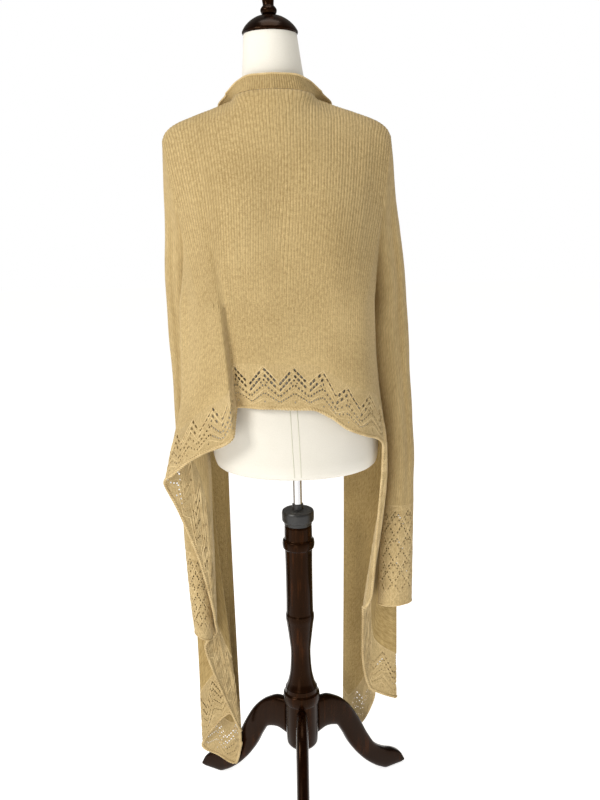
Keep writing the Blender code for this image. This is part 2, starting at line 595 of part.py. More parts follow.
class Panel:
    """Half a back, or a front, told by its place from the side seam on and its height."""

    def __init__(self, table, mirror, back):
        self.table = table
        self.mirror = mirror
        self.side = 1.0 if back else -1.0
        self.arm_end = BACK_ARM_END if back else FRONT_ARM_END
        self.neck_start = BACK_NECK_START if back else FRONT_NECK_START
        self.cache = {}
        self.edge = lookup(table, PANEL_NAMES, self.arm_end)

    def column(self, along):
        along = round(along, 7)
        if along not in self.cache:
            found = lookup(self.table, PANEL_NAMES, along)
            found["top"] = self.top(along)
            self.cache[along] = found
        return self.cache[along]

    def armhole_edge(self, turn):
        x, y, z = armhole(turn, self.side)
        return x - SEAM_GAP - CLOTH / 2.0, y, z

    def top(self, along):
        """The panel's top point: the lower armhole, then the shoulder, then the neck."""
        if along < self.arm_end:
            return self.armhole_edge(0.5 * max(along, 0.0) / self.arm_end)
        if along <= self.neck_start or self.side < 0.0:
            share = min(1.0, (along - self.arm_end) / (self.neck_start - self.arm_end))
            row = lookup(SHOULDER_ROWS, ("share", "x", "z"), share)
            inward = (SEAM_GAP + CLOTH / 2.0) * (1.0 - share)
            return row["x"] - inward, self.side * SEAM_GAP, row["z"]
        share = (along - self.neck_start) / (2.0 - self.neck_start)
        row = lookup(NECK_ROWS, ("share", "x", "y", "z"), share)
        return row["x"], row["y"] + SEAM_GAP, row["z"]

    def edge_shares(self, fall):
        """How far the armhole's upper edge has gone inward and outward at one fall."""
        z = SHOULDER_TIP - TOP_SPAN * fall
        middle = (UNDERARM + SHOULDER_TIP) / 2.0
        start_x, _, _ = self.armhole_edge(1.0)
        if z > middle:
            cosine = (middle - z) / (SHOULDER_TIP - middle)
            x, y, _ = self.armhole_edge(math.acos(max(-1.0, cosine)) / math.pi)
        else:
            side_x, side_y, _ = self.armhole_edge(0.5)
            share = (middle - z) / (middle - WAIST_LEVEL)
            x = side_x + (self.edge["waist_x"] - side_x) * share
            y = side_y + (self.edge["waist_y"] - side_y) * share
        return (x - start_x) / (self.edge["waist_x"] - start_x), y / self.edge["waist_y"]

    def shaped(self, along, fall):
        """A point, not yet leaned, between a shoulder or neck top and the waist level (fall 1)."""
        found = self.column(along)
        top_x, top_y, top_z = found["top"]
        edge_in, edge_out = self.edge_shares(fall)
        shoulder = (along - self.arm_end) / (self.neck_start - self.arm_end)
        blend = max(0.0, 1.0 - shoulder / EDGE_REACH)
        blend = blend * blend * (3.0 - 2.0 * blend)
        past_neck = max(0.0, along - self.neck_start)
        round_out = math.sqrt(max(0.0, 1.0 - (1.0 - fall) ** ARCH_POWER))
        round_out += (fall - round_out) * 0.9 * past_neck
        out = blend * edge_out + (1.0 - blend) * round_out
        drift = blend * edge_in + (1.0 - blend) * fall
        x = top_x + (found["waist_x"] - top_x) * drift
        y = top_y + (found["waist_y"] - top_y) * out
        return x * self.mirror, y, top_z - (top_z - WAIST_LEVEL) * fall

    def at_height(self, along, z):
        """A point of the hanging cloth, below the waist level or below the armhole."""
        found = self.column(along)
        if z > WAIST_LEVEL:
            top_x, top_y, top_z = found["top"]
            share = (top_z - z) / (top_z - WAIST_LEVEL)
            x = top_x + (found["waist_x"] - top_x) * share
            y = top_y + (found["waist_y"] - top_y) * share
        else:
            heights = [WAIST_LEVEL, HIP_LEVEL, found["knee_z"], found["hem_z"]]
            x = spline(heights, [found[name + "_x"] for name in ("waist", "hip", "knee", "hem")], z)
            y = spline(heights, [found[name + "_y"] for name in ("waist", "hip", "knee", "hem")], z)
        gap = self.side * SEAM_GAP * max(0.0, 1.0 - along / 0.1)
        return place((x * self.mirror, y + gap, z))

    def point(self, along, level):
        """level is a height up to the waist level, then runs up to the shoulder tip's height."""
        along = min(max(along, 0.0), self.table[-1][0])
        if level <= WAIST_LEVEL:
            return self.at_height(along, level)
        if along < self.arm_end:
            if level <= (UNDERARM + SHOULDER_TIP) / 2.0:
                return self.at_height(along, level)
            along = self.arm_end
        return place(self.shaped(along, min(1.0, max(0.0, (SHOULDER_TIP - level) / TOP_SPAN))))

    def lace_top(self, along):
        found = self.column(along)
        return found["hem_z"] + found["lace"]

    def plain_end(self, along):
        """The plain cloth's lower edge, an even gap over the lace's sloping top."""
        middle = min(max(along, SLOPE_STEP), self.table[-1][0] - SLOPE_STEP)
        before = self.at_height(middle - SLOPE_STEP, self.lace_top(middle - SLOPE_STEP))
        after = self.at_height(middle + SLOPE_STEP, self.lace_top(middle + SLOPE_STEP))
        step = after - before
        level = math.hypot(step.x, step.y)
        return self.lace_top(along) + LACE_GAP * min(STEEPEST, step.length / level)


class Back:
    """The back made of two halves, told by -2 (right side seam) to 2 (left side seam)."""

    def __init__(self, left, right):
        self.left = left
        self.right = right

    def half(self, along):
        if along >= 0.0:
            return self.left, 2.0 - along
        return self.right, 2.0 + along

    def point(self, along, level):
        panel, place_along = self.half(along)
        return panel.point(place_along, level)

    def column(self, along):
        panel, place_along = self.half(along)
        return panel.column(place_along)

    def lace_top(self, along):
        panel, place_along = self.half(along)
        return panel.lace_top(place_along)

    def plain_end(self, along):
        panel, place_along = self.half(along)
        return panel.plain_end(place_along)


def between(knots, values, at):
    """Straight-line reading of a rising table, carried on past its ends."""
    low = 0
    high = len(knots) - 1
    while high - low > 1:
        middle = (low + high) // 2
        if knots[middle] <= at:
            low = middle
        else:
            high = middle
    share = (at - knots[low]) / (knots[high] - knots[low])
    return values[low] + (values[high] - values[low]) * share


def measure(cloth, first, last, level_at, steps=400):
    """Places along a cloth, and the length of cloth up to each of them at one level."""
    places = [first + (last - first) * step / steps for step in range(steps + 1)]
    spots = [cloth.point(spot, level_at(spot)) for spot in places]
    lengths = [0.0]
    for before, after in zip(spots, spots[1:]):
        lengths.append(lengths[-1] + (after - before).length)
    return places, lengths


def arm_levels():
    """Levels of the armhole's points: lower quarter, then upper quarter, as the sleeve has them."""
    lower = [armhole(turn / RING_HALF, 1.0)[2] for turn in range(RING_HALF // 2 + 1)]
    upper = [armhole(turn / RING_HALF, 1.0)[2] for turn in range(RING_HALF // 2, RING_HALF + 1)]
    return lower, upper


def half_places(panel):
    """A panel's columns from its side seam to its neck or front edge."""
    steps = RING_HALF // 2
    places = [panel.arm_end * step / steps for step in range(steps + 1)]
    return places + list(BACK_PLACES if panel.side > 0.0 else FRONT_PLACES)


def add_panel(name, cloth, columns, flat_of, armholes, paint):
    """The plain cloth over some columns; armholes holds the sides, -1 or 1, that have one."""
    lower_levels, upper_levels = arm_levels()

    def surface(a, level):
        return cloth.point(between(flat_of[1], flat_of[0], a), level)

    def flat(spot):
        return between(flat_of[0], flat_of[1], spot)

    steps = RING_HALF // 2
    tops = []
    for index, spot in enumerate(columns):
        from_start = index if -1 in armholes else len(columns)
        from_end = len(columns) - 1 - index if 1 in armholes else len(columns)
        nearest = min(from_start, from_end)
        top = lower_levels[nearest] if nearest < steps else SHOULDER_TIP
        tops.append((flat(spot), top))
        rise = [(flat(spot), level) for level in upper_levels[:-1]]
        if nearest == steps and from_start == steps:
            tops[-1:] = rise + [tops[-1]]
        elif nearest == steps:
            tops += list(reversed(rise))
    bottoms = [(flat(spot), cloth.plain_end(spot)) for spot in columns]
    levels = sorted(LEVELS + tuple(upper_levels), reverse=True)
    lines = []
    for (a, bottom), spot in zip(bottoms, columns):
        top = max(level for flat_a, level in tops if abs(flat_a - a) < SAME_SPOT)
        between_ends = [level for level in levels if bottom + LEVEL_CLEAR < level < top - TOP_CLEAR]
        lines.append([(a, level) for level in [top] + between_ends + [bottom]])
    border = tops + lines[-1][1:] + list(reversed(bottoms[:-1])) + list(reversed(lines[0][1:-1]))
    return add_wall(name, surface, border, lines, bottoms, [], lambda a, level: CLOTH / 2.0, paint)


def add_hem_lace(name, cloth, columns, flat_of, paint):
    """The lace under a panel, with a point under each of the panel's columns."""
    hem_of = measure(cloth, columns[0], columns[-1], lambda spot: cloth.column(spot)["hem_z"])

    def surface(a, level):
        return cloth.point(between(flat_of[1], flat_of[0], a), level)

    def flat(spot):
        return between(flat_of[0], flat_of[1], spot)

    def half_at(a, level):
        here = between(flat_of[1], flat_of[0], a)
        hem = cloth.column(here)["hem_z"]
        if level - hem > FLAT_STEP:
            return LACE / 2.0
        before = cloth.point(here - SLOPE_STEP, cloth.column(here - SLOPE_STEP)["hem_z"])
        after = cloth.point(here + SLOPE_STEP, cloth.column(here + SLOPE_STEP)["hem_z"])
        flatness = math.hypot(after.x - before.x, after.y - before.y) / (after - before).length
        return (LACE + (ROLL - LACE) * flatness ** 2) / 2.0

    eyelets = []
    length = hem_of[1][-1]
    repeats = max(1, round(length / REPEAT))
    for repeat in range(repeats):
        for across, up in HEM_EYELETS:
            spot = between(hem_of[1], hem_of[0], (repeat + across) * length / repeats)
            found = cloth.column(spot)
            eyelets.append((flat(spot), found["hem_z"] + up * found["lace"]))
    hems = [cloth.column(spot)["hem_z"] for spot in columns]
    ends = [cloth.point(spot, hem) for spot, hem in zip(columns, hems)]
    slopes = []
    for before, after in zip(ends, ends[1:]):
        slopes.append(abs(after.z - before.z) / math.hypot(after.x - before.x, after.y - before.y))
    tops = [(flat(spot), cloth.lace_top(spot)) for spot in columns]
    bottoms = [(flat(spot), hem) for spot, hem in zip(columns, hems)]
    lines = []
    for index, ((a, top), hem) in enumerate(zip(tops, hems)):
        levels = [level for level in LEVELS if hem + LEVEL_CLEAR < level < top - TOP_CLEAR]
        if max(slopes[max(0, index - 1):index + 1]) < STEEP_HEM:
            levels.append(hem + ROLL_RISE)
        lines.append([(a, level) for level in [top] + levels + [hem]])
    border = tops + lines[-1][1:] + list(reversed(bottoms[:-1])) + list(reversed(lines[0][1:-1]))
    return add_wall(name, surface, border, lines, tops, eyelets, half_at, paint)


# Levels of the panels' points, from the shaped top down to the longest hem.
LEVELS = (1.225, 1.120, 1.040, 0.960, 0.890, 0.820, 0.750, 0.680, 0.610, 0.540, 0.470, 0.400,
          0.335, 0.270, 0.210, 0.150)
LEVEL_CLEAR = 0.012
TOP_CLEAR = 0.004
ROLL_RISE = 0.006
STEEP_HEM = 1.5             # a hem steeper than this has no level line just over its curled edge
NECK_PLACES = (1.67, 1.84)
# share of a repeat across, share of the band up: the large eyelets of one point of the lace
HEM_EYELETS = ((0.22, 0.62), (0.50, 0.42), (0.78, 0.62), (0.00, 0.83))
CUFF_EYELETS = ((0.50, 0.14), (0.00, 0.37), (0.50, 0.60), (0.00, 0.84))


# ---- the cloth: sleeves -------------------------------------------------------------------

# One row per ring: outer point x and height, inner point x and height, half depth.
SLEEVE_NAMES = ("ring", "outer_x", "outer_z", "inner_x", "inner_z", "depth")
SLEEVE_TOP = (
    (0.0, 0.2120, 1.420, 0.1680, 1.170, 0.046),
    (1.0, 0.2150, 1.372, 0.1688, 1.164, 0.041),
    (2.0, 0.2180, 1.310, 0.1698, 1.156, 0.037),
    (3.0, 0.2240, 1.240, 0.1705, 1.144, 0.034),
    (4.0, 0.2300, 1.170, 0.1705, 1.124, 0.032),
    (5.0, 0.2330, 1.080, 0.1700, 1.060, 0.029),
    (6.0, 0.2345, 0.960, 0.1780, 0.955, 0.027),
    (7.0, 0.2380, 0.830, 0.1880, 0.830, 0.026),
)
SLEEVE_LEFT = (
    (8.0, 0.2360, 0.700, 0.1880, 0.700, 0.025),
    (9.0, 0.2345, 0.606, 0.1870, 0.604, 0.024),
    (10.0, 0.2300, 0.500, 0.1860, 0.500, 0.021),
    (11.0, 0.2240, 0.418, 0.1880, 0.402, 0.019),
)
SLEEVE_RIGHT = (
    (8.0, 0.2370, 0.760, 0.1810, 0.760, 0.025),
    (9.0, 0.2370, 0.700, 0.1770, 0.698, 0.024),
    (10.0, 0.2365, 0.590, 0.1700, 0.588, 0.023),
    (11.0, 0.2360, 0.482, 0.1660, 0.476, 0.022),
)
CUFF_FROM = 9.0
CUFF_WIDTH = 0.088          # half the cuff's girth, laid flat
CUFF_REPEATS = 3
CUFF_HALF = 6               # segments in half a cuff
CUFF_SPLIT = 0.015          # the cuff's halves stop this far, in turns, from the fold
SLEEVE_SETS = (0.0, 1.0, 2.0, 3.0, 4.0, 5.0, 6.0, 7.0, 8.0, 9.0)
SLEEVE_CREASE = 0.14        # depth of the long crease down the back of a sleeve, of its depth
CREASE_TURN = 0.66          # its place, 0 at the inner line and 1 at the outer line


class Sleeve:
    """A sleeve, found by its turn around a ring and its place down the rings."""

    def __init__(self, table, mirror):
        self.table = table
        self.mirror = mirror
        self.cache = {}

    def row(self, ring):
        key = round(ring, 6)
        if key not in self.cache:
            self.cache[key] = lookup(self.table, SLEEVE_NAMES, ring)
        return self.cache[key]

    def point(self, turn, ring):
        """turn runs 0 at the inner line, 1 at the outer line by the back, 2 back again."""
        row = self.row(ring)
        angle = math.pi * turn
        share = 0.5 - 0.5 * math.cos(angle)
        x = row["inner_x"] + (row["outer_x"] - row["inner_x"]) * share
        z = row["inner_z"] + (row["outer_z"] - row["inner_z"]) * share
        near = math.exp(-((turn % 2.0 - CREASE_TURN) / 0.09) ** 2)
        crease = 1.0 - SLEEVE_CREASE * near * min(1.0, max(0.0, ring - 1.0) / 2.0)
        y = row["depth"] * math.sin(angle) * crease
        past = (ring - self.table[-1][0]) if ring > self.table[-1][0] else min(ring, 0.0)
        gap = SEAM_GAP + CLOTH / 2.0 if ring < 0.5 else 0.0
        return place(((x + gap) * self.mirror, y, z - past * 0.1))


def add_cuff(name, sleeve, first_turn, paint):
    """Half a lace cuff, from one turn to the next, with the curled edge at its end."""
    last_ring = sleeve.table[-1][0]
    top = sleeve.point(first_turn + 0.5, CUFF_FROM)
    length = (sleeve.point(first_turn + 0.5, last_ring) - top).length
    rings = last_ring - CUFF_FROM
    lift = 2.0 * SEAM_GAP / length * rings

    def surface(a, b):
        turn = first_turn + CUFF_SPLIT + (1.0 - 2.0 * CUFF_SPLIT) * a / CUFF_WIDTH
        return sleeve.point(turn, last_ring - (rings - lift) * b / length)

    eyelets = []
    for column in range(CUFF_REPEATS):
        for across, up in CUFF_EYELETS:
            eyelets.append(((column + across) * CUFF_WIDTH / CUFF_REPEATS, up * length))
    turns = [CUFF_SPLIT] + [step / CUFF_HALF for step in range(1, CUFF_HALF)] + [1.0 - CUFF_SPLIT]
    across = [CUFF_WIDTH * (turn - CUFF_SPLIT) / (1.0 - 2.0 * CUFF_SPLIT) for turn in turns]
    up = [0.0, ROLL_RISE, length * 0.25, length * 0.5, length * 0.75, length]
    border = [(a, up[-1]) for a in across] + [(across[-1], b) for b in reversed(up[1:-1])]
    border += [(a, 0.0) for a in reversed(across)] + [(0.0, b) for b in up[1:-1]]
    lines = [[(a, b) for b in reversed(up)] for a in across]

    def half_at(a, b):
        return (ROLL if b < FLAT_STEP else LACE) / 2.0

    return add_wall(name, surface, border, lines, border[:len(across)], eyelets, half_at, paint)


# ---- the cloth: neck band -----------------------------------------------------------------

# The band's seam and its outer edge round the back of the neck, from the centre to the side.
COLLAR_NAMES = ("place", "root_x", "root_y", "root_z", "edge_x", "edge_y", "edge_z")
COLLAR_BACK = (
    (0.0, 0.000, 0.0670, 1.4996, 0.000, 0.0655, 1.5240),
    (1.0, 0.042, 0.0590, 1.4976, 0.038, 0.0580, 1.5230),
    (2.0, 0.068, 0.0365, 1.4936, 0.064, 0.0340, 1.5160),
    (3.0, 0.078, 0.0000, 1.4892, 0.088, 0.0000, 1.5004),
)
# Down a front: how far the front's edge has fallen, and how the band opens out sideways and
# stands off the front.
COLLAR_FRONT_NAMES = ("place", "fall", "spread", "lift")
COLLAR_FRONT = (
    (3.0, 0.000, 0.0100, 0.0112),
    (4.0, 0.030, 0.0285, 0.0060),
    (5.0, 0.142, 0.0290, 0.0070),
    (6.0, 0.278, 0.0220, 0.0060),
    (7.0, 0.469, 0.0100, 0.0030),
)
FALL_STEP = 0.002
COLLAR_STEP = 0.5


def collar_point(front, along, out):
    """front is the panel the band is sewn to; along runs from the centre back, out from the seam."""
    if along <= COLLAR_BACK[-1][0]:
        row = lookup(COLLAR_BACK, COLLAR_NAMES, along)
        root = Vector((row["root_x"] * front.mirror, row["root_y"], row["root_z"]))
        edge = Vector((row["edge_x"] * front.mirror, row["edge_y"], row["edge_z"]))
        return place(root + (edge - root) * out)
    row = lookup(COLLAR_FRONT, COLLAR_FRONT_NAMES, along)
    here = Vector(front.shaped(FRONT_NECK_START, row["fall"]))
    below = Vector(front.shaped(FRONT_NECK_START, row["fall"] + FALL_STEP))
    down = (below - here).normalized()
    off = Vector((0.0, down.z, -down.y)).normalized()
    root = here + off * (CLOTH + SEAM_GAP)
    spread = Vector((row["spread"] * front.mirror, 0.0, 0.0))
    return place(root + (spread + off * row["lift"]) * out)


# ---- building -----------------------------------------------------------------------------


def add_cardigan():
    knit = material("camel_knit", (0.52, 0.38, 0.18), 0.9)
    lace = material("camel_lace", (0.54, 0.40, 0.20), 0.9)
    left = Panel(BACK_LEFT, 1.0, True)
    right = Panel(BACK_RIGHT, -1.0, True)
    back = Back(left, right)
    half = [spot - 2.0 for spot in half_places(left) + list(NECK_PLACES)]
    columns = half + [0.0] + [-spot for spot in reversed(half)]
    flat_of = measure(back, -2.0, 2.0, lambda spot: MEASURE_LEVEL)
    add_panel("back_panel", back, columns, flat_of, (-1, 1), knit)
    add_hem_lace("back_lace", back, columns, flat_of, lace)

    fronts = {}
    for name, table, mirror in (("left", FRONT_LEFT, 1.0), ("right", FRONT_RIGHT, -1.0)):
        front = Panel(table, mirror, False)
        fronts[mirror > 0.0] = front
        flat_of = measure(front, 0.0, 1.0, lambda spot: MEASURE_LEVEL)
        inner = [spot for spot in half_places(front) if spot < BAND_FROM] + [BAND_FROM - BAND_GAP]
        outer = [BAND_FROM + BAND_GAP, 1.0]
        add_panel("front_" + name, front, inner, flat_of, (-1,), knit)
        add_panel("front_band_" + name, front, outer, flat_of, (), knit)
        add_hem_lace("front_lace_" + name, front, inner + outer, flat_of, lace)

    ring_turns = [step / RING_HALF for step in range(2 * RING_HALF)]
    for name, tail, mirror in (("left", SLEEVE_LEFT, 1.0), ("right", SLEEVE_RIGHT, -1.0)):
        sleeve = Sleeve(SLEEVE_TOP + tail, mirror)
        add_sheet("sleeve_" + name, sleeve.point, ring_turns, SLEEVE_SETS, CLOTH, knit, closed=True)
        add_cuff("cuff_back_" + name, sleeve, 0.0, lace)
        add_cuff("cuff_front_" + name, sleeve, 1.0, lace)

    ends = round(COLLAR_FRONT[-1][0] / COLLAR_STEP)
    collar = [step * COLLAR_STEP for step in range(-ends, ends + 1)]

    def band_point(along, out):
        return collar_point(fronts[along >= 0.0], abs(along), out)

    add_sheet("neck_band", band_point, collar, (0.0, 0.5, 1.0), CLOTH, knit)


for old in list(bpy.data.objects):
    bpy.data.objects.remove(old, do_unlink=True)
add_stand()
add_cardigan()
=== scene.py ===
import math

import bmesh
import bpy
import numpy as np
from mathutils import Matrix, Vector, noise
from mathutils.geometry import delaunay_2d_cdt


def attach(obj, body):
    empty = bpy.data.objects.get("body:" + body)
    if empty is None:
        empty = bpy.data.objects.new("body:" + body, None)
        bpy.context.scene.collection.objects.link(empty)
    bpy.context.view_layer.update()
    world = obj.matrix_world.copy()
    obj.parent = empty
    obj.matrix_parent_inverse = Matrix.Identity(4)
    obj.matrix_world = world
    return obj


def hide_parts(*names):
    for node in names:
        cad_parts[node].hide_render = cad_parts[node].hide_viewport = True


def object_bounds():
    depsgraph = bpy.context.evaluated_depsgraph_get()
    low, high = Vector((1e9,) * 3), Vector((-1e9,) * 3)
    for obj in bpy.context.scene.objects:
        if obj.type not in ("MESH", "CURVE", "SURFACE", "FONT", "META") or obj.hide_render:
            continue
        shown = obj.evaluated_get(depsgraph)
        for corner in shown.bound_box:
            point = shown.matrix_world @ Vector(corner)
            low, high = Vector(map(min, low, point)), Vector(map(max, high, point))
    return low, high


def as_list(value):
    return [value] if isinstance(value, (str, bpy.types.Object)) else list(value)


# A long knitted cardigan with lace borders, seen from behind on a dress form. Metres, +Z up.
# The garment's back faces +Y and its wearer's left is +X. Tables are read about the stand's post,
# with the form upright; placeAll() then leans them and moves them to the frame's origin.

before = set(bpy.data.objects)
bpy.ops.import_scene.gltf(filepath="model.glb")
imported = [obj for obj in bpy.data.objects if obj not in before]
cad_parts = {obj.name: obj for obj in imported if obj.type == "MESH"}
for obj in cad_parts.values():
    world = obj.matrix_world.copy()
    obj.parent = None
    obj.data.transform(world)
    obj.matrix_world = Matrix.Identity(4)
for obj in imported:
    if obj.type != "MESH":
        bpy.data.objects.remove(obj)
cadLow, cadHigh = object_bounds()

axisX = -0.0100             # the post's place in the frame
axisY = -0.0625
lean = math.tan(math.radians(2.3))
leanFrom = 0.780            # the form's underside, above which it leans

clothThick = 0.0018
seamGap = 0.0004            # between pieces that meet
waistLevel = 1.120
underarm = 1.170
shoulderTip = 1.420
armholeLowX = 0.168
armholeHighX = 0.212
armholeDepth = 0.046
topSpan = shoulderTip - waistLevel
armMiddle = (underarm + shoulderTip) / 2

waleWidth = 0.0044          # from one ridge of the knit to the next
repeat = 0.055              # width of one lace point


class Nodes:
    # a node tree filled step by step; an input takes a value or another node's output

    def __init__(self, tree, family):
        self.tree = tree
        self.family = family

    def feed(self, node, socket, value):
        if isinstance(value, bpy.types.NodeSocket):
            self.tree.links.new(value, node.inputs[socket])
        else:
            node.inputs[socket].default_value = value

    def node(self, kind, settings=None, **inputs):
        made = self.tree.nodes.new(self.family + kind)
        for key, value in (settings or {}).items():
            setattr(made, key, value)
        for key, value in inputs.items():
            self.feed(made, key.replace("_", " "), value)
        return made

    def out(self, kind, settings=None, **inputs):
        return self.node(kind, settings, **inputs).outputs[0]


def placed(name, data):
    made = bpy.data.objects.new(name, data)
    bpy.context.scene.collection.objects.link(made)
    return made


# camera, light and floor

camera = {"spot": (-0.0088, 1.6200, 1.2800), "down": 12.6, "roll": 1.1, "lens": 37.35, "sensor": 36}
room = {"light": 0.22, "colour": (1.0, 0.95, 0.85), "aim": (0.0, 0.0, 0.9)}
ground = {"size": 14.0, "grey": 0.90, "glow": 0.82, "below": 0.0005}
lights = {
    # name: place, size, power, colour
    "keyLeft": ((2.4, 2.0, 2.4), 1.3, 70, (1.0, 0.98, 0.94)),
    "fillRight": ((-2.3, 1.9, 1.9), 1.5, 3, (1.0, 0.96, 0.88)),
    "top": ((0.0, 0.3, 3.3), 1.4, 22, (1.0, 0.99, 0.96)),
    "low": ((0.9, 2.6, 0.4), 0.9, 6, (1.0, 0.95, 0.86)),
}


def addCamera():
    x, y, z = camera["spot"]
    lens = bpy.data.cameras.new("camera")
    lens.lens = camera["lens"]
    lens.sensor_width = camera["sensor"]
    made = placed("camera", lens)
    turn = Matrix.Rotation(math.pi, 4, "Z")
    tilt = Matrix.Rotation(math.radians(90 - camera["down"]), 4, "X")
    roll = Matrix.Rotation(math.radians(-camera["roll"]), 4, "Z")
    made.matrix_world = Matrix.Translation((x + axisX, y + axisY, z)) @ turn @ tilt @ roll
    bpy.context.scene.camera = made


def addLights():
    for name, (spot, size, power, colour) in lights.items():
        lamp = bpy.data.lights.new(name, "AREA")
        lamp.size = size
        lamp.energy = power
        lamp.color = colour
        made = placed(name, lamp)
        made.location = spot
        aim = Vector(room["aim"]) - Vector(spot)
        made.rotation_euler = aim.to_track_quat("-Z", "Y").to_euler()


def addRoom():
    # the room lights the object softly and is plain white behind it
    world = bpy.data.worlds.new("studio")
    world.use_nodes = True
    nodes = Nodes(world.node_tree, "ShaderNode")
    lit = world.node_tree.nodes["Background"]
    nodes.feed(lit, "Strength", room["light"])
    nodes.feed(lit, "Color", (*room["colour"], 1.0))
    white = nodes.out("Background", Color=(1.0, 1.0, 1.0, 1.0))
    either = nodes.node("MixShader")
    seen = nodes.node("LightPath").outputs["Is Camera Ray"]
    for socket, value in enumerate((seen, lit.outputs[0], white)):
        nodes.feed(either, socket, value)
    nodes.feed(world.node_tree.nodes["World Output"], "Surface", either.outputs[0])
    bpy.context.scene.world = world
    bpy.context.scene.view_settings.view_transform = "Standard"


def addFloor():
    size, grey = ground["size"], ground["grey"]
    pale = Paint("paleFloor").finish(Base_Color=(grey, grey, grey, 1.0), Roughness=0.9,
                                     Emission_Color=(1.0, 1.0, 1.0, 1.0),
                                     Emission_Strength=ground["glow"])
    corners = [(-size, -size, 0), (size, -size, 0), (size, size, 0), (-size, size, 0)]
    floor = addMesh("floor", corners, [(0, 1, 2, 3)], pale)
    floor.location.z = cadLow.z - ground["below"]


# materials

class Paint(Nodes):

    def __init__(self, name):
        self.material = bpy.data.materials.new(name)
        self.material.use_nodes = True
        super().__init__(self.material.node_tree, "ShaderNode")

    def maths(self, kind, first, second=0.0):
        made = self.node("Math", {"operation": kind})
        self.feed(made, 0, first)
        self.feed(made, 1, second)
        return made.outputs[0]

    def total(self, *parts):
        # values added up by their shares
        found = 0.0
        for value, share in parts:
            found = self.maths("ADD", self.maths("MULTIPLY", value, share), found)
        return found

    def space(self, name, stretch=(1.0, 1.0, 1.0)):
        return self.out("Mapping", Vector=self.node("TexCoord").outputs[name], Scale=stretch)

    def speckle(self, spot, scale, detail, roughness):
        return self.out("TexNoise", Vector=spot, Scale=scale, Detail=detail, Roughness=roughness)

    def ramp(self, value, stops):
        made = self.node("ValToRGB")
        self.feed(made, 0, value)
        stop = made.color_ramp.elements
        while len(stop) < len(stops):
            stop.new(0.5)
        for index, (place, colour) in enumerate(stops):
            stop[index].position = place
            stop[index].color = (*colour, 1.0)
        return made.outputs[0]

    def bump(self, height, distance, strength):
        return self.out("Bump", Height=height, Distance=distance, Strength=strength)

    def finish(self, **inputs):
        shader = self.tree.nodes["Principled BSDF"]
        for key, value in inputs.items():
            self.feed(shader, key.replace("_", " "), value)
        return self.material


knitLook = {
    # each speckle: scale, detail, roughness and share of the colour
    "cloud": (7.0, 2.0, 0.5, 0.22),
    "fluff": (520.0, 2.0, 0.7, 0.46),
    "grain": (260.0, 1.0, 0.6, 0.32),
    "grainStretch": 0.55,
    "tones": (0.37, 0.61),
    "grooveShade": 0.42,         # how much painted shade darkens the grooves between two ridges
    "grooveShadeTint": (0.55, 0.52, 0.42),
    "waver": 1.1,           # how unevenly the grooves run
    "bumps": (0.35, 1.4),   # shares of the stitches and of the fluff in the relief
    "fuzz": (0.0006, 0.75),
    "extras": {"Roughness": 0.92, "Sheen_Weight": 0.25, "Sheen_Roughness": 0.5,
               "Sheen_Tint": (1.0, 0.92, 0.76, 1.0), "Specular_IOR_Level": 0.12},
}


def knitPaint(name, deep, lit):
    # UVs are in metres: across the ribs, then along them; the attribute says how strongly the grooves
    # take the painted shade
    paint = Paint(name)
    spot = paint.space("UV")
    stretched = paint.space("UV", (1.0, knitLook["grainStretch"], 1.0))
    spaces = {"cloud": spot, "fluff": spot, "grain": stretched}
    specks = {key: paint.speckle(space, *knitLook[key][:3]) for key, space in spaces.items()}
    mixed = paint.total(*((specks[key], knitLook[key][3]) for key in spaces))
    colour = paint.ramp(mixed, list(zip(knitLook["tones"], (deep, lit))))
    across = paint.out("SeparateXYZ", Vector=spot)
    turn = 2 * math.pi / waleWidth
    shift = paint.maths("MULTIPLY", paint.maths("SUBTRACT", specks["grain"], 0.5), knitLook["waver"])
    angle = paint.maths("ADD", paint.maths("MULTIPLY", across, turn), shift)
    ridge = paint.maths("MULTIPLY", paint.maths("ADD", paint.maths("COSINE", angle), 1.0), 0.5)
    grooveShadeStrength = paint.node("Attribute", {"attribute_name": "grooveShadeStrength"}).outputs["Fac"]
    # painted shade: the colour darkens in the grooves between the ridges, as if shade fell there
    shade = paint.maths("MULTIPLY", paint.maths("SUBTRACT", 1.0, ridge), grooveShadeStrength)
    grooveShaded = paint.node("Mix", {"data_type": "RGBA"})
    grooveShade = (*(part * tint for part, tint in zip(deep, knitLook["grooveShadeTint"])), 1.0)
    # the node's colour sockets come after those for numbers and vectors
    share = paint.maths("MULTIPLY", shade, knitLook["grooveShade"])
    for socket, value in ((0, share), (6, colour), (7, grooveShade)):
        paint.feed(grooveShaded, socket, value)
    stitches = paint.maths("SINE", paint.maths("MULTIPLY", across, 2 * turn))
    relief = paint.total(*zip((stitches, specks["fluff"]), knitLook["bumps"]))
    return paint.finish(Base_Color=grooveShaded.outputs[2], Normal=paint.bump(relief, *knitLook["fuzz"]),
                        **knitLook["extras"])


def yarnLook(deep, lit):
    return {"grain": (700.0, 2.0, 0.7), "cloud": (40.0, 2.0, 0.5), "share": 0.5,
            "colours": ((0.36, deep), (0.62, lit)), "rough": 0.9, "bump": (0.0004, 0.6),
            "extras": {"Sheen_Weight": 0.3, "Sheen_Tint": (1.0, 0.90, 0.72, 1.0),
                       "Specular_IOR_Level": 0.15}}


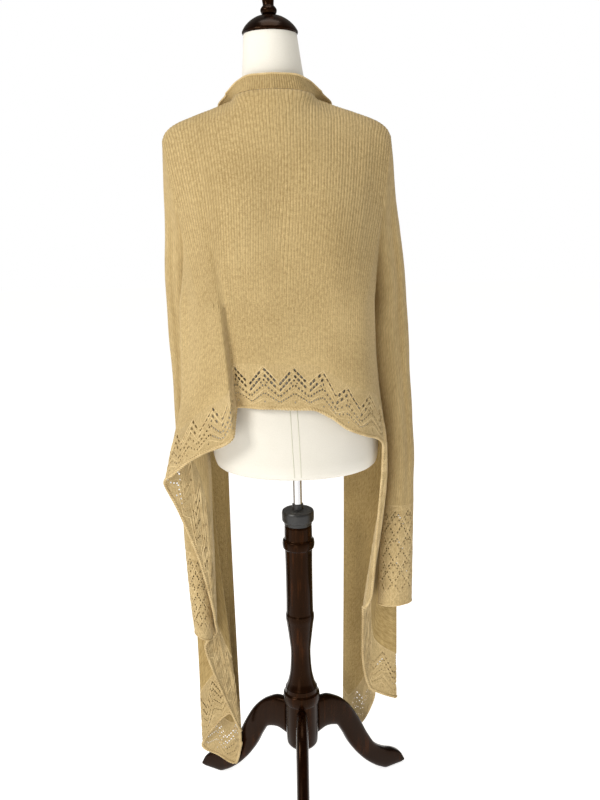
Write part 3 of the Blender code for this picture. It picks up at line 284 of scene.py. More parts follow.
looks = {
    # grain and cloud: scale, detail and roughness; share: the grain's part in the colour;
    # stretch: the grain along the height; rough: evenly, and with the grain
    "formCover": {"grain": (900.0, 2.0, 0.6), "cloud": (6.0, 3.0, 0.5), "share": 0.35, "stretch": 0.5,
                  "colours": ((0.30, (0.74, 0.71, 0.63)), (0.70, (0.85, 0.82, 0.75))),
                  "rough": 0.8, "bump": (0.0003, 0.5), "extras": {"Sheen_Weight": 0.25}},
    "darkWood": {"grain": (110.0, 6.0, 0.65), "cloud": (9.0, 3.0, 0.5), "share": 0.6, "stretch": 0.08,
                 "colours": ((0.32, (0.002, 0.0006, 0.0003)), (0.55, (0.008, 0.0024, 0.0007)),
                             (0.74, (0.056, 0.016, 0.003))),
                 "rough": 0.16, "roughGrain": 0.12, "bump": (0.0002, 0.4),
                 "extras": {"Specular_IOR_Level": 0.15, "Specular_Tint": (1.0, 0.52, 0.28, 1.0)}},
    "chrome": {"grain": (400.0, 2.0, 0.5), "stretch": 0.02,
               "colours": ((0.3, (0.60, 0.60, 0.62)), (0.7, (0.74, 0.74, 0.76))),
               "rough": 0.08, "roughGrain": 0.12, "extras": {"Metallic": 1.0}},
    "blackCollar": {"grain": (900.0, 2.0, 0.5),
                    "colours": ((0.3, (0.010, 0.010, 0.011)), (0.7, (0.022, 0.021, 0.021))),
                    "rough": 0.28, "roughGrain": 0.2, "bump": (0.0002, 0.4)},
    "coverSeamYarn": yarnLook((0.55, 0.56, 0.44), (0.68, 0.67, 0.56)),
    "camelYarn": yarnLook((0.400, 0.280, 0.120), (0.640, 0.482, 0.240)),
    "camelLaceYarn": yarnLook((0.440, 0.312, 0.142), (0.720, 0.560, 0.300)),
}


def plainPaint(name):
    look = looks[name]
    paint = Paint(name)
    grain = paint.speckle(paint.space("Object", (1.0, 1.0, look.get("stretch", 1.0))), *look["grain"])
    mixed = grain
    if "cloud" in look:
        cloud = paint.speckle(paint.space("Object"), *look["cloud"])
        mixed = paint.total((grain, look["share"]), (cloud, 1.0 - look["share"]))
    inputs = dict(look.get("extras", {}))
    inputs["Roughness"] = look["rough"]
    if "roughGrain" in look:
        inputs["Roughness"] = paint.total((1.0, look["rough"]), (grain, look["roughGrain"]))
    if "bump" in look:
        inputs["Normal"] = paint.bump(grain, *look["bump"])
    return paint.finish(Base_Color=paint.ramp(mixed, look["colours"]), **inputs)


# curves and meshes

def curve(knots, values, at):
    # smooth reading that never overshoots; knots and values may differ for each place
    at = np.atleast_1d(np.asarray(at, float))
    knots, values = (np.asarray(rows, float) for rows in (knots, values))
    knots, values = (np.repeat(rows[:, None], at.size, axis=1) if rows.ndim == 1 else rows
                     for rows in (knots, values))
    if knots[0, 0] > knots[-1, 0]:
        knots, values = knots[::-1], values[::-1]
    rise = np.diff(values, axis=0) / np.diff(knots, axis=0)
    both = rise[:-1] * rise[1:]
    total = np.where(both > 0, rise[:-1] + rise[1:], 1.0)
    inner = np.where(both > 0, 2 * both / total, 0.0)
    pull = np.vstack([rise[:1], inner, rise[-1:]])
    at = np.clip(at, knots[0], knots[-1])
    span = (at >= knots[1:-1]).sum(axis=0)

    def pick(table, row):
        return np.take_along_axis(table, row[None], axis=0)[0]

    width = pick(knots, span + 1) - pick(knots, span)
    q = (at - pick(knots, span)) / width
    found = (2 * q ** 3 - 3 * q ** 2 + 1) * pick(values, span)
    found += (q ** 3 - 2 * q ** 2 + q) * width * pick(pull, span)
    found += (3 * q ** 2 - 2 * q ** 3) * pick(values, span + 1)
    found += (q ** 3 - q ** 2) * width * pick(pull, span + 1)
    return found


def columns(table, names, at):
    knots = [row[0] for row in table]
    return {name: curve(knots, [row[index] for row in table], at)
            for index, name in enumerate(names) if index > 0}


def eased(share):
    # a ramp from 0 to 1 with soft ends
    share = np.clip(share, 0.0, 1.0)
    return share * share * (3.0 - 2.0 * share)


def reachOf(path):
    # metres run along a path at each of its points
    steps = np.linalg.norm(np.diff(path, axis=0), axis=-1)
    return np.concatenate([np.zeros((1, *steps.shape[1:])), np.cumsum(steps, axis=0)])


def placeAll(x, y, z):
    shift = np.maximum(0.0, z - leanFrom) * lean
    return np.stack([x + shift + axisX, y + axisY, z + 0.0 * x], axis=-1)


def addMesh(name, points, faces, paint, uv=None, grooveShadeStrength=None, weld=False):
    mesh = bpy.data.meshes.new(name)
    mesh.from_pydata([tuple(point) for point in points], [], [tuple(face) for face in faces])
    if uv is not None:
        layer = mesh.uv_layers.new(name="UVMap")
        corners = np.empty(len(mesh.loops), dtype=np.int32)
        mesh.loops.foreach_get("vertex_index", corners)
        layer.data.foreach_set("uv", np.asarray(uv, dtype=np.float32)[corners].ravel())
    if grooveShadeStrength is not None:
        # this attribute sets how strongly the knit paint darkens the grooves with painted shade
        mesh.attributes.new("grooveShadeStrength", "FLOAT", "POINT").data.foreach_set("value", grooveShadeStrength)
    if weld:
        body = bmesh.new()
        body.from_mesh(mesh)
        bmesh.ops.remove_doubles(body, verts=body.verts, dist=1e-5)
        bmesh.ops.recalc_face_normals(body, faces=body.faces)
        body.to_mesh(mesh)
        body.free()
    mesh.shade_smooth()
    mesh.materials.append(paint)
    return placed(name, mesh)


def sharpened(piece, degrees):
    piece.data.set_sharp_from_angle(angle=math.radians(degrees))
    return piece


def baked(piece):
    # the piece's modifiers become its mesh
    shown = piece.evaluated_get(bpy.context.evaluated_depsgraph_get())
    mesh = bpy.data.meshes.new_from_object(shown)
    old = piece.data
    piece.modifiers.clear()
    piece.data = mesh
    mesh.name = piece.name
    bpy.data.meshes.remove(old)
    return piece


def thicken(piece):
    shell = piece.modifiers.new("thickness", "SOLIDIFY")
    shell.thickness = clothThick
    shell.offset = 0.0
    return sharpened(baked(piece), 55)


def settle(piece, slot, *nodes):
    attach(piece, "root")
    if nodes:
        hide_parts(*nodes)
    return piece


def normalsOf(surface, a, b, stepA, stepB):
    across = surface(a + stepA, b) - surface(a - stepA, b)
    along = surface(a, b + stepB) - surface(a, b - stepB)
    normal = np.cross(across, along)
    length = np.linalg.norm(normal, axis=-1, keepdims=True)
    return normal / np.maximum(length, 1e-12)


def cloudAt(points, size, seed):
    # one smooth random number for each point, from -1 to 1
    shift = Vector((seed, 0.37 * seed, 0.11 * seed))
    return np.array([noise.noise(Vector(point) / size + shift) for point in points])


# geometry nodes: tubes along paths and small shapes set on points

class Shape(Nodes):

    def __init__(self, name, **inputs):
        tree = bpy.data.node_groups.new(name, "GeometryNodeTree")
        super().__init__(tree, "GeometryNode")
        for label, kind in {"Geometry": "Geometry", **inputs, "Material": "Material"}.items():
            tree.interface.new_socket(label, in_out="INPUT", socket_type="NodeSocket" + kind)
        tree.interface.new_socket("Geometry", in_out="OUTPUT", socket_type="NodeSocketGeometry")
        self.given = tree.nodes.new("NodeGroupInput").outputs

    def finish(self, geometry):
        whole = self.out("RealizeInstances", Geometry=geometry)
        smooth = self.out("SetShadeSmooth", Geometry=whole)
        painted = self.out("SetMaterial", Geometry=smooth, Material=self.given["Material"])
        self.feed(self.tree.nodes.new("NodeGroupOutput"), "Geometry", painted)
        return self.tree


def tubeTree():
    # a yarn of even thickness along every path of edges
    shape = Shape("yarnAlongPath", Radius="Float", Pitch="Float", Sides="Int")
    path = shape.out("MeshToCurve", Mesh=shape.given["Geometry"])
    even = shape.out("ResampleCurve", {"mode": "LENGTH"}, Curve=path, Length=shape.given["Pitch"])
    ring = shape.out("CurvePrimitiveCircle", Radius=shape.given["Radius"],
                     Resolution=shape.given["Sides"])
    return shape.finish(shape.out("CurveToMesh", Curve=even, Profile_Curve=ring, Fill_Caps=True))


def stampTree(kind):
    # a bead or a ring on every point, turned and sized by the point's own attributes
    shape = Shape(kind + "OnPoints", Yarn="Float")
    yarn = shape.given["Yarn"]
    if kind == "bead":
        form = shape.out("MeshUVSphere", Segments=6, Rings=5, Radius=yarn)
    else:
        around = shape.out("CurvePrimitiveCircle", Resolution=8, Radius=1.0)
        ring = shape.out("CurvePrimitiveCircle", Resolution=3, Radius=yarn)
        form = shape.out("CurveToMesh", Curve=around, Profile_Curve=ring)
    turn, size = (shape.out("InputNamedAttribute", {"data_type": "FLOAT_VECTOR"}, Name=label)
                  for label in ("turn", "size"))
    return shape.finish(shape.out("InstanceOnPoints", Points=shape.given["Geometry"], Instance=form,
                                  Rotation=turn, Scale=size))


def grown(name, mesh, group, values):
    # an object whose mesh comes from a node group with these inputs
    made = placed(name, mesh)
    live = made.modifiers.new(group.name, "NODES")
    live.node_group = group
    for item in group.interface.items_tree:
        if item.in_out == "INPUT" and item.name in values:
            live[item.identifier] = values[item.name]
    baked(made)
    made.data.materials.clear()
    made.data.materials.append(values["Material"])
    made.data.polygons.foreach_set("material_index", [0] * len(made.data.polygons))
    return made


def tubes(name, paths, radius, paint, sides=6, pitch=0.004):
    points = []
    edges = []
    for path in paths:
        first = len(points)
        points += [tuple(point) for point in path]
        edges += [(first + step, first + step + 1) for step in range(len(path) - 1)]
    mesh = bpy.data.meshes.new(name)
    mesh.from_pydata(points, edges, [])
    return grown(name, mesh, trees["tube"],
                 {"Radius": radius, "Pitch": pitch, "Sides": sides, "Material": paint})


def stamps(name, kind, points, turns, sizes, yarn, paint):
    mesh = bpy.data.meshes.new(name)
    mesh.from_pydata([tuple(point) for point in points], [], [])
    for label, rows in (("turn", turns), ("size", sizes)):
        layer = mesh.attributes.new(label, "FLOAT_VECTOR", "POINT")
        layer.data.foreach_set("vector", np.asarray(rows, dtype=np.float32).ravel())
    return grown(name, mesh, trees[kind], {"Yarn": yarn, "Material": paint})


def turnsFrom(along, normal, slants):
    # turns that lay a shape's x along a direction and its z on the normal, then slant it
    turns = []
    for direction, outward, slant in zip(along, normal, slants):
        x = Vector(direction).normalized()
        z = Vector(outward)
        z = (z - x * z.dot(x)).normalized()
        basis = Matrix((x, z.cross(x), z)).transposed()
        turns.append(tuple((basis @ Matrix.Rotation(slant, 3, "Z")).to_euler()))
    return turns


def evenly(path, pitch):
    # points and directions at even steps along a path
    path = np.asarray(path)
    reach = reachOf(path)
    count = max(2, int(round(reach[-1] / pitch)))
    spots = np.linspace(0.5 * reach[-1] / count, reach[-1] * (1.0 - 0.5 / count), count)

    def at(spots):
        return np.stack([np.interp(spots, reach, path[:, axis]) for axis in range(3)], axis=-1)

    return at(spots), at(spots + 0.001) - at(spots - 0.001)


ropeLook = {"core": 0.72, "slant": 34, "bead": (2.0, 0.95, 1.05)}      # shares of the yarn's radius


def rope(name, path, outward, radius, pitch, paint):
    # a hem's curled edge: slanting yarns round a core
    core = tubes(name + "Core", [path], ropeLook["core"] * radius, paint)
    points, along = evenly(path, pitch)
    outward = np.atleast_2d(outward)
    share = np.linspace(0, len(outward) - 1, len(points)).round().astype(int)
    turns = turnsFrom(along, outward[share], [math.radians(ropeLook["slant"])] * len(points))
    beads = stamps(name, "bead", points, turns, [ropeLook["bead"]] * len(points), radius, paint)
    return joined(name, [beads, core])


def joined(name, parts):
    body = bmesh.new()
    for part in parts:
        body.from_mesh(part.data)
    mesh = bpy.data.meshes.new(name)
    body.to_mesh(mesh)
    body.free()
    mesh.shade_smooth()
    mesh.materials.append(parts[0].data.materials[0])
    for part in parts:
        bpy.data.objects.remove(part, do_unlink=True)
    return placed(name, mesh)


# the dress form and its stand

formRows = (
    # height, half width, half depth, forward shift
    (0.7800, 0.120, 0.084, 0.000),
    (0.7830, 0.146, 0.104, 0.000),
    (0.7920, 0.160, 0.115, 0.000),
    (0.8150, 0.166, 0.120, 0.000),
    (0.8700, 0.167, 0.120, 0.000),
    (0.9400, 0.157, 0.111, 0.000),
    (1.0200, 0.124, 0.093, 0.000),
    (1.1000, 0.128, 0.096, 0.004),
    (1.2000, 0.146, 0.110, 0.010),
    (1.2600, 0.150, 0.113, 0.010),
    (1.3200, 0.158, 0.104, 0.006),
    (1.3700, 0.174, 0.084, 0.002),
    (1.4050, 0.180, 0.064, 0.000),
    (1.4250, 0.170, 0.054, 0.000),
    (1.4450, 0.148, 0.043, 0.000),
    (1.4600, 0.131, 0.033, 0.000),
    (1.4719, 0.1142, 0.019, 0.000),
    (1.4850, 0.071, 0.047, 0.000),
    (1.5200, 0.0585, 0.052, 0.000),
    (1.6000, 0.0487, 0.0487, 0.000),
)
capBase = 1.6003
collarTop = 0.700
rodRadius = 0.0092
legWidth = 0.026

capProfile = (
    (0.0000, 0.0500), (0.0030, 0.0512), (0.0100, 0.0480), (0.0200, 0.0390),
    (0.0290, 0.0250), (0.0330, 0.0130),
)
finialProfile = (
    (0.0000, 0.0100), (0.0020, 0.0135), (0.0080, 0.0150), (0.0130, 0.0125), (0.0160, 0.0100),
    (0.0260, 0.0110), (0.0400, 0.0145), (0.0500, 0.0165), (0.0580, 0.0160), (0.0660, 0.0110),
    (0.0700, 0.0050),
)
collarProfile = (
    (-0.0440, 0.0286), (-0.0385, 0.0288), (-0.0370, 0.0312), (-0.0335, 0.0330), (-0.0190, 0.0334),
    (-0.0140, 0.0318), (-0.0115, 0.0260), (-0.0105, 0.0125), (0.0000, 0.0112),
)
postProfile = (
    (0.2853, 0.0330), (0.3000, 0.0278), (0.3250, 0.0232), (0.3650, 0.0212), (0.4050, 0.0248),
    (0.4350, 0.0285), (0.4480, 0.0302), (0.4540, 0.0300), (0.4600, 0.0286), (0.5000, 0.0280),
    (0.5400, 0.0280), (0.5900, 0.0284), (0.6020, 0.0290),
    (0.6060, 0.0325), (0.6140, 0.0335), (0.6220, 0.0325), (0.6260, 0.0290), (0.6500, 0.0285),
    (0.6557, 0.0270),
)
hubProfile = (
    (0.1420, 0.0180), (0.1450, 0.0280), (0.1550, 0.0335), (0.1900, 0.0350), (0.2400, 0.0350),
    (0.2480, 0.0350), (0.2520, 0.0385), (0.2620, 0.0395), (0.2720, 0.0385), (0.2760, 0.0350),
    (0.2850, 0.0340),
)
legRows = (
    # reach and height of the upper edge, then of the lower edge
    (0.0348, 0.2450, 0.0348, 0.1600),
    (0.0600, 0.2440, 0.0600, 0.1680),
    (0.0900, 0.2300, 0.0850, 0.1620),
    (0.1180, 0.2050, 0.1020, 0.1380),
    (0.1450, 0.1620, 0.1190, 0.1040),
    (0.1690, 0.1130, 0.1420, 0.0690),
    (0.1920, 0.0760, 0.1720, 0.0350),
    (0.2200, 0.0540, 0.2050, 0.0090),
    (0.2450, 0.0420, 0.2250, 0.0000),
    (0.2640, 0.0270, 0.2600, 0.0000),
    (0.2720, 0.0110, 0.2690, 0.0040),
)
legs = {"leg_rear": 90.0, "leg_left": -30.0, "leg_right": 210.0}
formLook = {"sides": 72, "rowStep": 0.006, "seamAngles": (93.2, 88.6, -55.0, -90.0, -125.0),
            "seamSpan": (0.792, 1.46), "seamStep": 0.008, "seamYarn": 0.0007}
legLook = {"rows": 61, "sides": 28, "flatness": (0.55, 0.7)}


def ringFaces(rings, size):
    faces = []
    for row in range(rings - 1):
        for step in range(size):
            follow = (step + 1) % size
            faces.append((row * size + step, row * size + follow,
                          (row + 1) * size + follow, (row + 1) * size + step))
    faces.append(tuple(reversed(range(size))))
    faces.append(tuple((rings - 1) * size + step for step in range(size)))
    return faces


def finer(heights, step):
    return np.unique(np.concatenate([np.arange(heights[0], heights[-1], step), heights]))


def turned(name, profile, base, paint, sides=56, step=0.0012):
    heights, radii = zip(*profile)
    fine = finer(heights, step)
    rounds = curve(heights, radii, fine)[:, None]
    angle = np.linspace(0, 2 * math.pi, sides, endpoint=False)
    z = np.repeat((fine + base)[:, None], sides, axis=1)
    points = placeAll(rounds * np.cos(angle), rounds * np.sin(angle), z).reshape(-1, 3)
    return sharpened(addMesh(name, points, ringFaces(len(fine), sides), paint), 50)


def formAt(angle, height):
    row = columns(formRows, ("height", "wide", "deep", "forward"), height)
    return placeAll(row["wide"] * np.cos(angle), row["deep"] * np.sin(angle) - row["forward"], height)


def addForm():
    sides = formLook["sides"]
    fine = finer([row[0] for row in formRows], formLook["rowStep"])
    angle = np.linspace(0, 2 * math.pi, sides, endpoint=False)
    points = formAt(np.tile(angle, len(fine)), np.repeat(fine, sides))
    # the mesh runs a little inside the solid's corners, so that it stays clear of the cloth
    piece = addMesh("dressForm", points, ringFaces(len(fine), sides), paints["formCover"])
    settle(sharpened(piece, 50), "form_cover", "dress_form")
    step = formLook["seamStep"]
    spots = np.arange(*formLook["seamSpan"], step)
    seams = [formAt(np.full(len(spots), math.radians(turn)), spots) for turn in formLook["seamAngles"]]
    raised = tubes("formSeams", seams, formLook["seamYarn"], paints["coverSeamYarn"], 5, step)
    settle(raised, "form_cover")


def addLeg(name, degrees):
    angle = math.radians(degrees)
    places = np.linspace(0, len(legRows) - 1, legLook["rows"])
    reachUp, heightUp, reachLow, heightLow = (curve(range(len(legRows)), column, places)[:, None]
                                              for column in zip(*legRows))
    turn = np.linspace(0, 2 * math.pi, legLook["sides"], endpoint=False)
    flatSide, flatTop = legLook["flatness"]
    side = np.sign(np.cos(turn)) * np.abs(np.cos(turn)) ** flatSide
    share = 0.5 + 0.5 * np.sign(np.sin(turn)) * np.abs(np.sin(turn)) ** flatTop
    reach = reachLow + (reachUp - reachLow) * share
    height = heightLow + (heightUp - heightLow) * share
    across = side * legWidth / 2 + 0.0 * reach
    x = reach * math.cos(angle) - across * math.sin(angle)
    y = reach * math.sin(angle) + across * math.cos(angle)
    points = placeAll(x, y, height).reshape(-1, 3)
    piece = addMesh(name.replace("_", ""), points, ringFaces(len(places), legLook["sides"]),
                    paints["darkWood"], weld=True)
    settle(piece, "dark_wood", name)


finialBase = capBase + capProfile[-1][0] + seamGap
rodProfile = ((collarTop + seamGap, rodRadius), (leanFrom - seamGap, rodRadius))
turnedParts = (
    # piece, profile, base height, paint, slot, node
    ("neckCap", capProfile, capBase, "darkWood", "dark_wood", "neck_cap"),
    ("finialKnob", finialProfile, finialBase, "darkWood", "dark_wood", "finial"),
    ("chromeRod", rodProfile, 0.0, "chrome", "chrome", "rod"),
    ("clampCollar", collarProfile, collarTop, "blackCollar", "black_collar", "clamp_collar"),
    ("turnedPost", postProfile, 0.0, "darkWood", "dark_wood", "post"),
    ("turnedHub", hubProfile, 0.0, "darkWood", "dark_wood", "hub"),
)


def addStand():
    for name, profile, base, paint, slot, node in turnedParts:
        settle(turned(name, profile, base, paints[paint]), slot, node)
    for name, degrees in legs.items():
        addLeg(name, degrees)


# the cloth's tables

shoulderRows = (
    # share from the shoulder tip to the neck, x, height
    (0.000, 0.212, 1.420),
    (0.080, 0.206, 1.432),
    (0.200, 0.188, 1.446),
    (0.450, 0.150, 1.461),
    (0.720, 0.115, 1.473),
    (1.000, 0.078, 1.487),
)
neckRows = (
    # share from the side of the neck to its centre back, x, y, height
    (0.00, 0.078, 0.000, 1.487),
    (0.30, 0.068, 0.036, 1.492),
    (0.60, 0.042, 0.058, 1.496),
    (1.00, 0.000, 0.066, 1.498),
)
panelNames = ("place", "waistX", "waistY", "hipX", "hipY", "kneeX", "kneeY", "kneeZ",
              "hemX", "hemY", "hemZ", "lace")
hipLevel = 0.960
archPower = 2.4             # how roundly the cloth goes over the shoulder
edgeReach = 0.55            # share of the shoulder over which the armhole's bend fades out

# A row is one fold or valley, from the side seam on.
backLeft = (
    (0.0000, 0.158, 0.000, 0.166, 0.000, 0.175, 0.000, 0.82, 0.177, 0.004, 0.425, 0.200),
    (0.1333, 0.163, 0.030, 0.170, 0.032, 0.177, 0.032, 0.82, 0.178, 0.028, 0.465, 0.220),
    (0.2667, 0.178, 0.050, 0.186, 0.047, 0.192, 0.046, 0.82, 0.198, 0.038, 0.580, 0.200),
    (0.4000, 0.192, 0.058, 0.202, 0.057, 0.222, 0.056, 0.82, 0.236, 0.050, 0.705, 0.140),
    (0.5333, 0.198, 0.067, 0.209, 0.067, 0.246, 0.066, 0.82, 0.260, 0.062, 0.770, 0.100),
    (0.6667, 0.180, 0.082, 0.194, 0.083, 0.228, 0.080, 0.84, 0.240, 0.080, 0.793, 0.092),
    (0.8000, 0.158, 0.102, 0.168, 0.104, 0.189, 0.102, 0.88, 0.200, 0.104, 0.828, 0.090),
    (0.8700, 0.147, 0.108, 0.152, 0.112, 0.167, 0.114, 0.88, 0.176, 0.118, 0.844, 0.090),
    (1.0000, 0.122, 0.118, 0.114, 0.130, 0.114, 0.133, 0.91, 0.113, 0.134, 0.880, 0.088),
    (1.0800, 0.110, 0.112, 0.105, 0.106, 0.104, 0.102, 0.95, 0.104, 0.101, 0.929, 0.085),
    (1.1800, 0.095, 0.117, 0.090, 0.113, 0.087, 0.111, 0.95, 0.086, 0.110, 0.932, 0.083),
    (1.5000, 0.050, 0.124, 0.050, 0.125, 0.050, 0.126, 0.95, 0.050, 0.126, 0.932, 0.083),
    (2.0000, 0.000, 0.126, 0.000, 0.127, 0.000, 0.128, 0.95, 0.000, 0.128, 0.930, 0.083),
)
backRight = (
    (0.0000, 0.150, 0.000, 0.164, 0.000, 0.176, 0.000, 0.82, 0.134, 0.002, 0.468, 0.180),
    (0.1333, 0.153, 0.030, 0.167, 0.030, 0.178, 0.031, 0.82, 0.136, 0.020, 0.475, 0.200),
    (0.2667, 0.160, 0.050, 0.168, 0.047, 0.180, 0.046, 0.82, 0.147, 0.036, 0.505, 0.220),
    (0.4000, 0.163, 0.058, 0.166, 0.056, 0.179, 0.055, 0.84, 0.160, 0.048, 0.660, 0.180),
    (0.5333, 0.164, 0.068, 0.162, 0.066, 0.170, 0.065, 0.88, 0.172, 0.061, 0.835, 0.095),
    (0.6667, 0.156, 0.084, 0.153, 0.084, 0.157, 0.084, 0.90, 0.160, 0.080, 0.858, 0.090),
    (0.8700, 0.140, 0.104, 0.134, 0.104, 0.135, 0.104, 0.91, 0.136, 0.104, 0.871, 0.088),
    (1.1300, 0.110, 0.116, 0.103, 0.117, 0.102, 0.119, 0.92, 0.102, 0.119, 0.888, 0.085),
    (1.3400, 0.083, 0.121, 0.074, 0.122, 0.073, 0.124, 0.94, 0.072, 0.125, 0.912, 0.083),
    (1.6700, 0.042, 0.124, 0.036, 0.125, 0.036, 0.127, 0.95, 0.036, 0.128, 0.929, 0.083),
    (2.0000, 0.000, 0.126, 0.000, 0.127, 0.000, 0.128, 0.95, 0.000, 0.128, 0.930, 0.083),
)
frontLeft = (
    (0.0000, 0.158, 0.000, 0.166, 0.000, 0.175, 0.000, 0.82, 0.177, 0.004, 0.425, 0.200),
    (0.1500, 0.160, -0.034, 0.170, -0.034, 0.181, -0.034, 0.82, 0.182, -0.020, 0.400, 0.180),
    (0.2250, 0.160, -0.050, 0.184, -0.046, 0.214, -0.046, 0.82, 0.207, -0.028, 0.365, 0.160),
    (0.3750, 0.148, -0.068, 0.168, -0.060, 0.182, -0.057, 0.82, 0.138, -0.038, 0.150, 0.180),
    (0.5050, 0.138, -0.085, 0.170, -0.074, 0.200, -0.067, 0.82, 0.162, -0.048, 0.190, 0.115),
    (0.6500, 0.124, -0.104, 0.172, -0.092, 0.228, -0.080, 0.82, 0.228, -0.058, 0.104, 0.125),
    (0.8000, 0.110, -0.120, 0.146, -0.110, 0.186, -0.096, 0.82, 0.192, -0.063, 0.074, 0.105),
    (0.9350, 0.095, -0.134, 0.122, -0.126, 0.161, -0.110, 0.82, 0.156, -0.063, 0.052, 0.100),
    (1.0000, 0.088, -0.138, 0.110, -0.134, 0.150, -0.116, 0.82, 0.139, -0.056, 0.110, 0.100),
)
frontRight = (
    (0.0000, 0.150, 0.000, 0.164, 0.000, 0.176, 0.000, 0.82, 0.134, 0.002, 0.468, 0.180),
    (0.0750, 0.151, -0.018, 0.166, -0.018, 0.178, -0.018, 0.82, 0.134, -0.012, 0.360, 0.160),
    (0.1500, 0.153, -0.034, 0.168, -0.034, 0.180, -0.036, 0.82, 0.150, -0.028, 0.262, 0.120),
    (0.2250, 0.152, -0.050, 0.174, -0.047, 0.206, -0.048, 0.82, 0.210, -0.036, 0.230, 0.105),
    (0.4500, 0.142, -0.076, 0.164, -0.068, 0.184, -0.066, 0.82, 0.150, -0.060, 0.240, 0.120),
    (0.5775, 0.131, -0.092, 0.160, -0.086, 0.190, -0.082, 0.82, 0.166, -0.088, 0.205, 0.130),
    (0.7250, 0.116, -0.110, 0.140, -0.108, 0.154, -0.106, 0.82, 0.144, -0.112, 0.128, 0.110),
    (0.8680, 0.100, -0.128, 0.112, -0.130, 0.120, -0.128, 0.82, 0.106, -0.126, 0.080, 0.100),
    (1.0000, 0.087, -0.138, 0.095, -0.140, 0.103, -0.138, 0.82, 0.096, -0.134, 0.100, 0.100),
)
bandFrom = 0.935            # the front band's inner edge, as a place along the front

sleeveNames = ("ring", "outerX", "outerZ", "innerX", "innerZ", "depth")
sleeveTop = (
    (0.0, 0.2120, 1.420, 0.1680, 1.170, 0.046),
    (1.0, 0.2150, 1.372, 0.1688, 1.164, 0.041),
    (2.0, 0.2180, 1.310, 0.1698, 1.156, 0.037),
    (3.0, 0.2240, 1.240, 0.1705, 1.144, 0.034),
    (4.0, 0.2300, 1.170, 0.1705, 1.124, 0.032),
    (5.0, 0.2330, 1.080, 0.1630, 1.060, 0.029),
    (6.0, 0.2345, 0.960, 0.1710, 0.955, 0.027),
    (7.0, 0.2380, 0.830, 0.1830, 0.830, 0.026),
)
sleeveLeft = (
    (8.0, 0.2360, 0.700, 0.1880, 0.700, 0.025),
    (9.0, 0.2345, 0.606, 0.1870, 0.604, 0.024),
    (10.0, 0.2300, 0.500, 0.1860, 0.500, 0.021),
    (11.0, 0.2240, 0.418, 0.1880, 0.402, 0.019),
)
sleeveRight = (
    (8.0, 0.2370, 0.760, 0.1810, 0.760, 0.025),
    (9.0, 0.2370, 0.700, 0.1770, 0.698, 0.024),
    (10.0, 0.2365, 0.590, 0.1700, 0.588, 0.023),
    (11.0, 0.2360, 0.482, 0.1660, 0.476, 0.022),
)
cuffFrom = 9.0
creaseTurn = 0.66           # the sleeve's long crease, 0 at the inner line and 1 at the outer one
creaseWidth = 0.09
creaseDepth = {1.0: 0.16, -1.0: 0.30}

collarNames = ("place", "rootX", "rootY", "rootZ", "edgeX", "edgeY", "edgeZ")
collarBack = (
    (0.0, 0.000, 0.0670, 1.4996, 0.000, 0.0655, 1.5240),
    (1.0, 0.042, 0.0590, 1.4976, 0.038, 0.0580, 1.5230),
    (2.0, 0.068, 0.0365, 1.4936, 0.064, 0.0340, 1.5160),
    (3.0, 0.078, 0.0000, 1.4892, 0.088, 0.0000, 1.5004),
)
collarFront = (
    # place, how far the front's edge has fallen, the band's spread and its lift off the front
    (3.0, 0.000, 0.0100, 0.0112),
    (4.0, 0.030, 0.0285, 0.0060),
    (5.0, 0.142, 0.0290, 0.0070),
    (6.0, 0.278, 0.0220, 0.0060),
    (7.0, 0.469, 0.0100, 0.0030),
)


# the cloth's surfaces

def chosen(which, first, second):
    return tuple(np.where(which, *pair) for pair in zip(first, second))


def armhole(turn, side):
    angle = math.pi * turn
    x = (armholeLowX + armholeHighX) / 2 - (armholeHighX - armholeLowX) / 2 * np.cos(angle)
    z = armMiddle - (shoulderTip - underarm) / 2 * np.cos(angle)
    return x, side * armholeDepth * np.sin(angle), z


bendLook = {
    # the bend under the side of the neck is softened over these shifts of the place
    "shifts": ((-0.30, 0.12), (-0.15, 0.22), (0.0, 0.32), (0.15, 0.22), (0.30, 0.12)),
    "fullFrom": 0.07,       # share of the fall where the softening is whole
    "nearArm": 0.3,         # and where it fades out again, near the armhole and the centre
    "nearCentre": 0.2,
}


